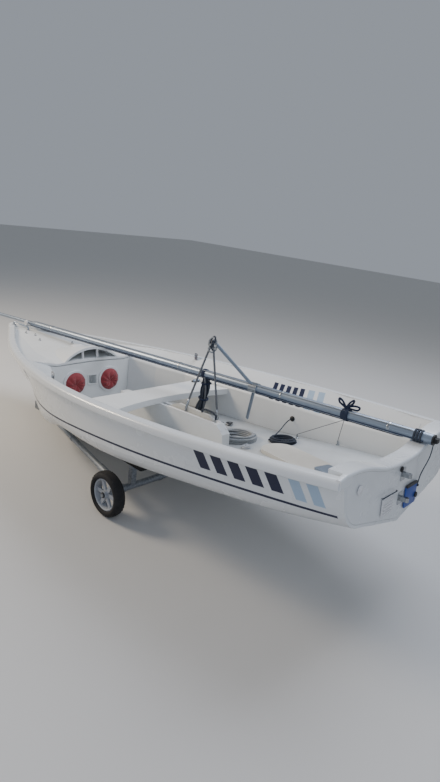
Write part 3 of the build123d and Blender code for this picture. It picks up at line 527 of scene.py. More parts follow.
@dataclass
class Piece:
    """A mesh under construction: corner points and faces, in metres in the shared frame."""

    name: str
    points: list[Vector] = field(default_factory=list)
    faces: list[tuple[int, ...]] = field(default_factory=list)
    shade_angle: float = math.radians(35)
    same_point: float = 0.00001

    def ring_band(self, rings: list[list[Vector]], caps: bool = True, loop: bool = False) -> "Piece":
        """Adds a skin over a row of closed rings that have equal numbers of points.

        Args:
            rings: The rings, in order along the piece.
            caps: Whether the first and last rings get an end face.
            loop: Whether the last ring joins the first.

        Returns:
            This piece.
        """
        start, count = len(self.points), len(rings[0])
        for ring in rings:
            self.points.extend(ring)
        spans = list(zip(range(len(rings)), range(1, len(rings))))
        if loop:
            spans.append((len(rings) - 1, 0))
        for a, b in spans:
            for i in range(count):
                j = (i + 1) % count
                self.faces.append((start + a * count + i, start + a * count + j,
                                   start + b * count + j, start + b * count + i))
        if caps and not loop:
            last = start + (len(rings) - 1) * count
            self.faces.append(tuple(start + i for i in reversed(range(count))))
            self.faces.append(tuple(last + i for i in range(count)))
        return self

    def join(self, other: "Piece") -> "Piece":
        """Takes another piece's mesh into this one.

        Args:
            other: The other piece, not yet dressed.

        Returns:
            This piece.
        """
        shift = len(self.points)
        self.points.extend(other.points)
        self.faces.extend(tuple(i + shift for i in face) for face in other.faces)
        return self

    def dress(self, finish: Finish, body: str = "boat", replaces: str = "", slot: str = ""
              ) -> bpy.types.Object:
        """Makes the object, with its normals outward, its finish and its body.

        Args:
            finish: The surface.
            body: The body that it rides on.
            replaces: The CAD node that this piece stands for, if any.
            slot: Not used.

        Returns:
            The finished object.
        """
        mesh = bpy.data.meshes.new(self.name)
        mesh.from_pydata([tuple(p) for p in self.points], [], self.faces)
        work = bmesh.new()
        work.from_mesh(mesh)
        bmesh.ops.remove_doubles(work, verts=work.verts, dist=self.same_point)
        bmesh.ops.recalc_face_normals(work, faces=work.faces)
        work.to_mesh(mesh)
        work.free()
        piece = bpy.data.objects.new(self.name, mesh)
        bpy.context.scene.collection.objects.link(piece)
        mesh.materials.append(finish.material())
        mesh.shade_smooth()
        mesh.set_sharp_from_angle(angle=self.shade_angle)
        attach(piece, body)
        if replaces:
            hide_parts(replaces)
        return piece


def frames_along(path: list[Vector], up: Vector) -> list[tuple[Vector, Vector]]:
    """Works out a side and an up direction at each point of a path.

    Args:
        path: The path's points.
        up: The direction that up stays closest to.

    Returns:
        A pair of side and up vectors for each point.
    """
    pairs = []
    for i in range(len(path)):
        ahead = path[min(i + 1, len(path) - 1)] - path[max(i - 1, 0)]
        side = ahead.cross(up).normalized()
        pairs.append((side, side.cross(ahead).normalized()))
    return pairs


def tube(name: str, path: list[Vector], radius: float, sides: int = 14,
         up: Vector = STRAIGHT_UP) -> Piece:
    """Returns a round tube, not yet dressed, along a path that never runs in the direction up."""
    return Piece(name).ring_band([oval(point, side * radius, above * radius, sides)
                                  for point, (side, above) in zip(path, frames_along(path, up))])


def hoop(name: str, loop: list[Vector], radius: float, sides: int = 8) -> Piece:
    """Builds a closed ring of round section.

    Args:
        name: The piece's name.
        loop: Points round its centreline, all on one side of their middle.
        radius: Radius of its section.
        sides: How many flats go round the section.

    Returns:
        The piece, not yet dressed.
    """
    centre = sum(loop, Vector()) / len(loop)
    rings = []
    for i, point in enumerate(loop):
        ahead = (loop[(i + 1) % len(loop)] - loop[i - 1]).normalized()
        out = (point - centre).normalized()
        rings.append(oval(point, out * radius, ahead.cross(out).normalized() * radius, sides))
    return Piece(name).ring_band(rings, loop=True)


def turned(name: str, start: Vector, toward: Vector, profile: Profile, sides: int = 28,
           scale: float = 1.0) -> Piece:
    """Builds a piece turned about an axis, as on a lathe.

    Args:
        name: The piece's name.
        start: Where the axis starts.
        toward: A point further along the axis.
        profile: Pairs of place along the axis and radius; a first and last radius of 0 close the ends,
            and otherwise the profile closes on itself.
        sides: How many flats go round it.
        scale: The size of the profile's unit, in metres.

    Returns:
        The piece, not yet dressed.
    """
    axis = (toward - start).normalized()
    spare = STRAIGHT_UP if abs(axis.z) < 0.9 else Vector((1, 0, 0))
    first = axis.cross(spare).normalized()
    second = axis.cross(first)
    closed = profile[0][1] == 0 and profile[-1][1] == 0
    rings = [oval(start + axis * (x * scale), first * (r * scale), second * (r * scale), sides)
             for x, r in (profile[1:-1] if closed else profile)]
    return Piece(name).ring_band(rings, caps=closed, loop=not closed)


def rod(name: str, start: Vector, end: Vector, radius: float) -> Piece:
    """Builds a straight wire, rod or screw with rounded ends.

    Args:
        name: The piece's name.
        start: One end.
        end: The other end.
        radius: Its radius.

    Returns:
        The piece, not yet dressed.
    """
    length = (end - start).length
    return turned(name, start, end, (
        (0, 0), (0, radius * 0.7), (radius * 0.5, radius), (length - radius * 0.5, radius),
        (length, radius * 0.7), (length, 0)), 12)


def bolt(name: str, start: Vector, toward: Vector, radius: float) -> Piece:
    """Builds a hexagon bolt head on its washer.

    Args:
        name: The piece's name.
        start: Where it stands.
        toward: A point further out.
        radius: Half the head's width over its corners.

    Returns:
        The piece, not yet dressed.
    """
    washer = ((0, 0), (0, 1.5), (0.2, 1.5), (0.25, 1.4), (0.25, 0))
    head = ((0, 0), (0.24, 1.0), (0.8, 1.0), (0.95, 0.86), (0.95, 0))
    hexagon = turned(name, start, toward, head, 6, radius)
    return turned(name, start, toward, washer, 24, radius).join(hexagon)


def follow(rows: Profile, place: float) -> float:
    """Reads a value between listed rows, smoothly.

    Args:
        rows: Pairs of place and value, in order.
        place: Where to read.

    Returns:
        The value there.
    """
    last = len(rows) - 1
    k = next((i for i in range(last) if place <= rows[i + 1][0]), last - 1)
    (x0, v0), (x1, v1) = rows[k], rows[k + 1]
    before, after = rows[max(k - 1, 0)], rows[min(k + 2, last)]
    slope0 = (v1 - before[1]) / max(x1 - before[0], HAIR)
    slope1 = (after[1] - v0) / max(after[0] - x0, HAIR)
    t, span = (place - x0) / (x1 - x0), x1 - x0
    return ((2 * t**3 - 3 * t**2 + 1) * v0 + (t**3 - 2 * t**2 + t) * span * slope0
            + (3 * t**2 - 2 * t**3) * v1 + (t**3 - t**2) * span * slope1)


def smooth_path(points: list[Vector], count: int) -> list[Vector]:
    """Works out a smooth curve through points.

    Args:
        points: Points that the curve passes through.
        count: How many points to return.

    Returns:
        The curve's points, evenly spread along the given ones.
    """
    places = [0.0]
    for a, b in zip(points, points[1:]):
        places.append(places[-1] + (b - a).length)
    rows = [tuple((place, point[axis]) for place, point in zip(places, points)) for axis in range(3)]
    marks = [places[-1] * k / (count - 1) for k in range(count)]
    return [Vector([follow(row, mark) for row in rows]) for mark in marks]


def decal(name: str, columns: list[list[tuple[Vector, Vector]]], lift: float) -> Piece:
    """Builds a thin film over surface points.

    Args:
        name: The piece's name.
        columns: Columns of pairs of surface point and normal.
        lift: How far the film stands off the surface, and how far it is let in.

    Returns:
        The piece, not yet dressed.
    """
    rings = []
    for column in columns:
        outer = [point + normal * lift for point, normal in column]
        inner = [point - normal * lift for point, normal in reversed(column)]
        rings.append(outer + inner)
    return Piece(name).ring_band(rings)


def rounded_box(low: Pair, high: Pair, radius: float,
                corner_steps: int = 5) -> list[Pair]:
    """Works out the outline of a rectangle with rounded corners, in two coordinates.

    Args:
        low: Its lowest corner.
        high: Its highest corner.
        radius: Radius of its corners.
        corner_steps: How many flats go round each corner.

    Returns:
        The outline's points, in order.
    """
    centres = ((high[0] - radius, high[1] - radius), (low[0] + radius, high[1] - radius),
               (low[0] + radius, low[1] + radius), (high[0] - radius, low[1] + radius))
    outline = []
    for quarter, (x, y) in enumerate(centres):
        for k in range(corner_steps + 1):
            a = math.pi / 2 * (quarter + k / corner_steps)
            outline.append((x + radius * math.cos(a), y + radius * math.sin(a)))
    return outline


class Skin:
    """Surface of one or more CAD nodes, for finding points on it."""

    # Height in the boat's frame from which nothing of the boat is above.
    ABOVE_ALL = 1.2

    def __init__(self, *names: str) -> None:
        """Joins the named nodes' faces in one tree.

        Args:
            *names: The CAD nodes.
        """
        points: list[Vector] = []
        faces: list[tuple[int, ...]] = []
        for name in names:
            mesh, start = frame["nodes"][name].data, len(points)
            points.extend(v.co for v in mesh.vertices)
            faces.extend(tuple(start + i for i in p.vertices) for p in mesh.polygons)
        self.tree = BVHTree.FromPolygons(points, faces)

    def hit(self, start: Vector, direction: Vector) -> tuple[Vector, Vector]:
        """Finds the first point that a ray meets.

        Args:
            start: Where the ray starts.
            direction: Where it goes.

        Returns:
            The point, and the normal that faces the ray.

        Raises:
            ValueError: If nothing lies on the ray.
        """
        point, normal, _, _ = self.tree.ray_cast(start, direction)
        if point is None:
            raise ValueError(f"nothing lies along {tuple(direction)} from {tuple(start)}")
        return point, (-normal if normal.dot(direction) > 0 else normal)

    def below(self, s: float, y: float) -> tuple[Vector, Vector]:
        """Returns the highest point at the boat's station s and y, and its normal."""
        return self.hit(BOAT.at(s, y, self.ABOVE_ALL), -BOAT.up)


class Repeater:
    """Geometry Nodes tree that repeats a piece along a line or round a centre."""

    def __init__(self, count: int, step: Vector = Vector(), turn: Vector = Vector(),
                 centre: Vector = Vector()) -> None:
        """Keeps how many copies, the shift and turn from one to the next, and what they turn round."""
        self.values = {"Count": count, "Step": step, "Turn": turn, "Centre": centre}

    def tree(self) -> Tree:
        """Builds the node tree once.

        Returns:
            The tree, with named inputs for its sizes.
        """
        known = bpy.data.node_groups.get("repeat_piece")
        if known is not None:
            return known
        tree = bpy.data.node_groups.new("repeat_piece", "GeometryNodeTree")
        sockets = (("Geometry", "NodeSocketGeometry"), ("Count", "NodeSocketInt"),
                   ("Step", "NodeSocketVector"), ("Turn", "NodeSocketVector"),
                   ("Centre", "NodeSocketVector"), ("Material", "NodeSocketMaterial"))
        for name, kind in sockets:
            tree.interface.new_socket(name, in_out="INPUT", socket_type=kind)
        tree.interface.new_socket("Geometry", in_out="OUTPUT", socket_type="NodeSocketGeometry")
        given = add_node(tree, "NodeGroupInput").outputs
        back = add_node(tree, "ShaderNodeVectorMath", {0: given["Centre"], "Scale": -1.0},
                        operation="SCALE")
        centred = add_node(tree, "GeometryNodeTransform", {
            "Geometry": given["Geometry"], "Translation": back.outputs[0]})
        line = add_node(tree, "GeometryNodeMeshLine", {
            "Count": given["Count"], "Start Location": given["Centre"], "Offset": given["Step"]},
            mode="OFFSET")
        turn = add_node(tree, "ShaderNodeVectorMath", {
            0: given["Turn"], "Scale": add_node(tree, "GeometryNodeInputIndex").outputs[0]},
            operation="SCALE")
        rotation = add_node(tree, "FunctionNodeEulerToRotation", {0: turn.outputs[0]})
        copies = add_node(tree, "GeometryNodeInstanceOnPoints", {
            "Points": line.outputs[0], "Instance": centred.outputs[0], "Rotation": rotation.outputs[0]})
        real = add_node(tree, "GeometryNodeRealizeInstances", {0: copies.outputs[0]})
        dressed = add_node(tree, "GeometryNodeSetMaterial", {
            "Geometry": real.outputs[0], "Material": given["Material"]})
        add_node(tree, "NodeGroupOutput", {0: dressed.outputs[0]})
        return tree

    def repeat(self, piece: bpy.types.Object) -> None:
        """Replaces a piece's mesh by its repeated copies, in the same finish.

        Args:
            piece: The piece, already dressed.
        """
        tree = self.tree()
        modifier = piece.modifiers.new("repeat", "NODES")
        modifier.node_group = tree
        items = tree.interface.items_tree
        sockets = {item.name: item.identifier for item in items if item.in_out == "INPUT"}
        for name, value in self.values.items():
            modifier[sockets[name]] = value
        modifier[sockets["Material"]] = piece.data.materials[0]
        evaluated = piece.evaluated_get(bpy.context.evaluated_depsgraph_get())
        mesh = bpy.data.meshes.new_from_object(evaluated)
        piece.modifiers.remove(modifier)
        piece.data = mesh


@dataclass(frozen=True)
class Softbox:
    """One soft light: where it hangs and the side of its face in metres, its watts and its colour."""

    name: str
    place: Place
    size: float
    power: float
    tint: str


@dataclass
class Studio:
    """Pale floor, soft light like open shade with a warmer lamp towards the bow, and the camera."""

    camera_from_axle: Pair = (2.5932, -2.6402)
    camera_height: float = 1.9721
    heading: float = math.radians(41.03)
    pitch: float = math.radians(17.47)
    roll: float = math.radians(7.41)
    focal_px: float = 542.3
    image_height_px: int = 782
    sensor: float = 36.0
    floor_half: float = 30.0
    lamps_aim: Place = (0.4, 0, 0.4)
    lamps: tuple[Softbox, ...] = (
        Softbox("overhead", (1.5, 2.5, 5.2), 3.6, 250.0, "#eaf0ff"),
        Softbox("bow_lamp", (-4.5, -3.0, 4.0), 1.8, 360.0, "#ffeed6"),
        Softbox("stern_fill", (4.5, -3.2, 2.6), 3.0, 45.0, "#dfe8ff"))
    sky: str = "#dde6f3"
    sky_strength: float = 0.42

    def camera(self) -> None:
        """Places the camera where the picture was taken, with its long side as the sensor's size."""
        forward = Vector((-math.sin(self.heading) * math.cos(self.pitch),
                          math.cos(self.heading) * math.cos(self.pitch), -math.sin(self.pitch)))
        level = Vector((math.cos(self.heading), math.sin(self.heading), 0))
        above = level.cross(forward)
        right = level * math.cos(self.roll) + above * math.sin(self.roll)
        up = right.cross(forward)
        data = bpy.data.cameras.new("camera")
        data.sensor_fit = "AUTO"
        data.sensor_width = self.sensor
        data.lens = self.sensor * self.focal_px / self.image_height_px
        camera = bpy.data.objects.new("camera", data)
        turn = Matrix((right, up, -forward)).transposed()
        out, along = self.camera_from_axle
        place = Vector((BOAT.axle_x + out, along, self.camera_height))
        camera.matrix_world = Matrix.Translation(place) @ turn.to_4x4()
        bpy.context.scene.collection.objects.link(camera)
        bpy.context.scene.camera = camera

    def floor(self) -> None:
        """Lays the plain floor."""
        half = self.floor_half
        mesh = bpy.data.meshes.new("floor")
        mesh.from_pydata([(-half, -half, 0), (half, -half, 0), (half, half, 0), (-half, half, 0)], [],
                         [(0, 1, 2, 3)])
        floor = bpy.data.objects.new("floor", mesh)
        bpy.context.scene.collection.objects.link(floor)
        mesh.materials.append(Finishes.floor.material())

    def light(self) -> None:
        """Sets the sky's even light and hangs the soft lights, each with its face towards the boat."""
        world = bpy.data.worlds.new("studio")
        world.use_nodes = True
        shade = world.node_tree.nodes["Background"]
        shade.inputs["Color"].default_value = linear(self.sky)
        shade.inputs["Strength"].default_value = self.sky_strength
        bpy.context.scene.world = world
        for lamp in self.lamps:
            data = bpy.data.lights.new(lamp.name, "AREA")
            data.size = lamp.size
            data.energy = lamp.power
            data.color = linear(lamp.tint)[:3]
            light = bpy.data.objects.new(lamp.name, data)
            aim = Vector(self.lamps_aim) - Vector(lamp.place)
            turn = aim.to_track_quat("-Z", "Y").to_matrix().to_4x4()
            light.matrix_world = Matrix.Translation(lamp.place) @ turn
            bpy.context.scene.collection.objects.link(light)

    def build(self) -> None:
        """Sets up the whole studio."""
        self.camera()
        self.floor()
        self.light()


@dataclass
class Solids:
    """The CAD nodes that show as they are, each in its slot's finish or in one of its own."""

    own_finish: dict[str, Finish] = field(default_factory=lambda: {
        "hull": Finishes.hull, "transom": Finishes.hull, "cockpit_sole": Finishes.sole,
        "rudder_blade": Finishes.foil, "centreboard_head": Finishes.foil})
    shade_angle: float = math.radians(30)

    def build(self) -> None:
        """Gives every node its finish."""
        for row in frame["record"]["subparts"]:
            name = row["node"]
            mesh = frame["nodes"][name].data
            mesh.materials.clear()
            mesh.materials.append(self.own_finish.get(name, SLOT_FINISH[row["material_slot"]]).material())
            mesh.shade_smooth()
            mesh.set_sharp_from_angle(angle=self.shade_angle)
            LOG.info("solid %s", name)


@dataclass(frozen=True)
class BarRun:
    """A row of plain slanted bars: stations, low and high edge, how many, and what they lie on.

    The edges are heights on the topside, and distances from the centreline on the deck.
    """

    name: str
    start: float
    end: float
    low: float
    high: float
    count: int
    finish: Finish
    on_deck: bool = False


@dataclass
class Hull:
    """Hull skin's dressing: rounded rim, pinstripe and plain slanted bars."""

    rim_width: float = 0.062
    rim_depth: float = 0.052
    inner_edge: float = 0.004
    inner_drop: float = 0.0005
    shoulder_width: float = 0.030
    shoulder_drop: float = 0.026
    shoulder_steps: int = 7
    tuck_width: float = 0.008
    tuck_rise: float = 0.010
    tuck_steps: int = 4
    nose_radius: float = 0.050
    nose_steps: int = 8
    crowding: float = 0.9
    half_step: float = 0.002
    stripe_half: float = 0.0070
    stripe_lift: float = 0.0006
    stripe_run: Profile = (
        (0.37, 0.268), (0.90, 0.215), (1.74, 0.198), (2.50, 0.226), (3.10, 0.236), (4.235, 0.247))
    outside: float = 1.5
    bar_slant: float = 0.35
    bar_share: float = 0.62
    bar_columns: int = 4
    bar_rows: int = 6
    bar_runs: tuple[BarRun, ...] = (
        BarRun("topside_navy", 3.463, 3.996, 0.290, 0.400, 5, Finishes.stripe),
        BarRun("topside_pale", 4.017, 4.200, 0.281, 0.398, 2, Finishes.faded),
        BarRun("deck_navy", 2.880, 3.190, 0.610, 0.735, 5, Finishes.stripe, True),
        BarRun("deck_pale", 3.200, 3.375, 0.610, 0.735, 2, Finishes.faded, True))
    steps: int = 90

    def plan(self) -> list[tuple[float, float, float, float]]:
        """Works out the rim's outer edge, from the stern's starboard corner round the nose to port.

        Returns:
            For each point, station, y, and the outward direction's two parts.
        """
        rows = []
        slope = (BOAT.half_beam(BOAT.entry) - BOAT.half_beam(0.0)) / BOAT.entry
        angle = math.atan(slope)
        apex = -BOAT.half_beam(0.0) / slope
        centre = apex + self.nose_radius / math.sin(angle)
        touch = centre - self.nose_radius * math.sin(angle)
        for k in range(self.steps + 1):
            s = BOAT.length + (touch - BOAT.length) * (k / self.steps)**self.crowding
            rise = BOAT.half_beam(s + self.half_step) - BOAT.half_beam(s - self.half_step)
            rise /= 2 * self.half_step
            length = math.hypot(1, rise)
            rows.append((s, BOAT.half_beam(s), -rise / length, 1 / length))
        for k in range(1, self.nose_steps):
            turn = (math.pi / 2 - angle) * (1 - k / self.nose_steps)
            rows.append((centre - self.nose_radius * math.cos(turn), self.nose_radius * math.sin(turn),
                         -math.cos(turn), math.sin(turn)))
        nose = [(centre - self.nose_radius, 0.0, -1.0, 0.0)]
        return rows + nose + [(s, -y, ds, -dy) for s, y, ds, dy in reversed(rows)]

    def rim_section(self) -> list[Pair]:
        """Works out the rim's section, with a round shoulder outside and a tucked-in foot.

        Returns:
            Pairs of distance in from the outer edge and height over the sheer.
        """
        width, depth = self.rim_width, self.rim_depth
        section = [(width, -depth), (width, -self.inner_edge), (width - self.inner_edge, -self.inner_drop)]
        for k in range(self.shoulder_steps + 1):
            a = math.pi / 2 * (1 - k / self.shoulder_steps)
            section.append((self.shoulder_width * (1 - math.cos(a)),
                            self.shoulder_drop * (math.sin(a) - 1)))
        for k in range(1, self.tuck_steps + 1):
            a = math.pi / 2 * k / self.tuck_steps
            section.append((self.tuck_width * (1 - math.cos(a)),
                            self.tuck_rise * (1 - math.sin(a)) - depth))
        return section

    def rim(self) -> None:
        """Builds the rounded rim in place of the square one."""
        rings = []
        for s, y, ds, dy in self.plan():
            ring = []
            for inward, height in self.rim_section():
                across = y - dy * inward
                if y and across * y < 0:
                    across = 0.0
                ring.append(BOAT.at(s - ds * inward, across, BOAT.sheer(s) + height))
            rings.append(ring)
        Piece("gunwale_rim").ring_band(rings).dress(Finishes.hull, replaces="gunwale")

    def stripe(self, side: Side) -> None:
        """Lays the navy pinstripe low on the topside.

        Args:
            side: Which side of the boat.
        """
        skin = Skin("hull")
        first, last = self.stripe_run[0][0], self.stripe_run[-1][0]
        columns = []
        for k in range(self.steps + 1):
            s = first + (last - first) * k / self.steps
            heights = [follow(self.stripe_run, s) + sign * self.stripe_half for sign in (-1, 1)]
            columns.append([skin.hit(BOAT.at(s, side.value * self.outside, h), -side.value * TO_STARBOARD)
                            for h in heights])
        decal(f"pinstripe_{side.word}", columns, self.stripe_lift).dress(Finishes.stripe)

    def bar(self, run: BarRun, number: int, skin: Skin) -> list[list[tuple[Vector, Vector]]]:
        """Finds one slanted bar's points on the surface that it lies on.

        Args:
            run: The row of bars.
            number: Which bar of the row, from 0.
            skin: The surface.

        Returns:
            Columns of pairs of surface point and normal.
        """
        pitch, tall = (run.end - run.start) / run.count, run.high - run.low
        columns = []
        for i in range(self.bar_columns + 1):
            column = []
            for j in range(self.bar_rows + 1):
                up = j / self.bar_rows
                s = run.start + pitch * (number + self.bar_share * i / self.bar_columns)
                s -= self.bar_slant * (up - 0.5) * tall
                edge = run.low + tall * up
                column.append(skin.below(s, edge) if run.on_deck
                              else skin.hit(BOAT.at(s, -self.outside, edge), TO_STARBOARD))
            columns.append(column)
        return columns

    def bars(self) -> None:
        """Lays plain slanted bars, navy then pale blue, on the port topside and the far side deck."""
        topside, deck = Skin("hull"), Skin("side_tank_starboard", "gunwale")
        for run in self.bar_runs:
            for number in range(run.count):
                columns = self.bar(run, number, deck if run.on_deck else topside)
                decal(f"{run.name}_bar_{number + 1}", columns, self.stripe_lift).dress(run.finish)

    def build(self) -> None:
        """Builds every piece of the hull's dressing."""
        self.rim()
        for side in Side:
            self.stripe(side)
        self.bars()


@dataclass(frozen=True)
class Plate:
    """A flat plate on the transom: lowest and highest y and h, thickness, finish and corner radius."""

    name: str
    low: Pair
    high: Pair
    thick: float
    finish: Finish
    corner: float = 0.006


@dataclass
class TransomMoulding:
    """Rounded capping of the dipped transom, and what is fixed to the transom's face."""

    dip_y: float = 0.040
    dip_h: float = 0.392
    rise_y: float = 0.566
    rise_h: float = 0.472
    end_y: float = 0.606
    rim_edge_y: float = 0.664
    rim_top: float = 0.4605
    leg_h: float = 0.408
    leg_blend: float = 0.006
    joint_half: float = 0.0005
    thick: float = 0.024
    edge_steps: int = 6
    steps: int = 60
    shelf_s: float = 4.176
    aft_s: float = 4.278
    face_s: float = 4.276
    let_in: float = 0.001
    edge_round: float = 0.0015
    plates: tuple[Plate, ...] = (
        Plate("bailer_frame", (-0.221, 0.141), (-0.107, 0.233), 0.006, Finishes.moulded),
        Plate("drain_flap", (0.046, 0.104), (0.190, 0.226), 0.005, Finishes.blue, 0.012),
        Plate("drain_flap_hinge", (0.052, 0.219), (0.184, 0.234), 0.009, Finishes.black))
    slat_ends: Pair = (-0.212, -0.116)
    slat_h: float = 0.154
    slat_pitch: float = 0.0165
    slats: int = 5
    slat_section: Profile = ((0.005, -0.006), (0.012, -0.003), (0.012, 0.0), (0.005, 0.004))
    elastic_radius: float = 0.0028
    elastic_route: tuple[Place, ...] = (
        (0.001, -0.240, 0.250), (0.010, -0.236, 0.250), (0.0105, -0.160, 0.249), (0.010, -0.078, 0.247),
        (0.001, -0.074, 0.247))

    def height(self, y: float) -> float:
        """Works out the capping's top: two equal arcs from the dip, then level down to the rim.

        Args:
            y: Distance from the centreline.

        Returns:
            The height there.
        """
        wide, high = (self.rise_y - self.dip_y) / 2, (self.rise_h - self.dip_h) / 2
        radius = (wide**2 + high**2) / (2 * high)
        out = min(max(abs(y) - self.dip_y, 0.0), 2 * wide)
        if abs(y) > self.end_y:
            return follow(((self.end_y, self.rise_h), (self.rim_edge_y, self.rim_top)), abs(y))
        if out < wide:
            return self.dip_h + radius - math.sqrt(radius**2 - out**2)
        return self.rise_h - radius + math.sqrt(radius**2 - (2 * wide - out)**2)

    def ring(self, y: float) -> list[Vector]:
        """Works out the capping's section, which has a round after edge and is deeper over the rim's end.

        Args:
            y: Distance from the centreline.

        Returns:
            The section's points.
        """
        top, r = self.height(y), self.thick / 2
        deep = min(max((abs(y) - self.rise_y) / self.leg_blend, 0.0), 1.0)
        bottom = top - self.thick + (self.leg_h - top + self.thick) * deep
        start = self.shelf_s if abs(y) < self.end_y else self.face_s - self.thick
        outline = [(start, bottom), (start, top)]
        arc = [(self.aft_s - r + r * math.cos(a), r - r * math.sin(a))
               for a in [math.pi / 2 * k / self.edge_steps for k in range(self.edge_steps + 1)]]
        outline += [(s, top - down) for s, down in reversed(arc)]
        outline += [(s, bottom + up) for s, up in arc]
        return [BOAT.at(s, y, h) for s, h in outline]

    def capping(self) -> None:
        """Builds the capping in place of the square-edged one, over the rim's two ends as well."""
        places = [self.rim_edge_y * k / self.steps for k in range(self.steps + 1)]
        places = sorted(places + [self.rise_y, self.rise_y + self.leg_blend, self.end_y - self.joint_half,
                                  self.end_y + self.joint_half])
        across = [-y for y in reversed(places[1:])] + places
        rings = [self.ring(y) for y in across]
        Piece("transom_capping").ring_band(rings).dress(Finishes.hull, replaces="transom_lip")

    def plate(self, plate: Plate) -> None:
        """Fixes a flat plate with rounded corners on the transom's after face.

        Args:
            plate: The plate's sizes and finish.
        """
        outline = rounded_box(plate.low, plate.high, plate.corner)
        middle = [(low + high) / 2 for low, high in zip(plate.low, plate.high)]
        rings = []
        for out, shrink in ((-self.let_in, 0.0), (plate.thick - self.edge_round, 0.0), (plate.thick, 0.03)):
            rings.append([BOAT.at(self.face_s + out, y + (middle[0] - y) * shrink,
                                  h + (middle[1] - h) * shrink) for y, h in outline])
        Piece(plate.name).ring_band(rings).dress(plate.finish)

    def fittings(self) -> None:
        """Adds the slatted bailer, the blue flap and its elastic, the inspection plug and the dark eye."""
        for plate in self.plates:
            self.plate(plate)
        slat = Piece("bailer_slats").ring_band([
            [BOAT.at(self.face_s + ds, y, self.slat_h + dh) for ds, dh in self.slat_section]
            for y in self.slat_ends])
        Repeater(self.slats, BOAT.up * self.slat_pitch).repeat(slat.dress(Finishes.moulded))
        for name, y, h, radius, finish in (
                ("inspection_plug", -0.474, 0.361, 0.024, Finishes.moulded),
                ("transom_eye_base", -0.034, 0.352, 0.016, Finishes.black)):
            start = BOAT.at(self.face_s - self.let_in, y, h)
            turned(name, start, start + BOAT.aft,
                   ((0, 0), (0, radius), (0.004, radius), (0.0065, radius * 0.8), (0.0065, radius * 0.3),
                    (0.009, radius * 0.25), (0.009, 0))).dress(finish)
        elastic = [BOAT.at(self.face_s + out, y, h) for out, y, h in self.elastic_route]
        tube("flap_elastic", elastic, self.elastic_radius, 10, BOAT.up).dress(Finishes.dark_rope)

    def build(self) -> None:
        """Builds the capping and the fittings."""
        self.capping()
        self.fittings()


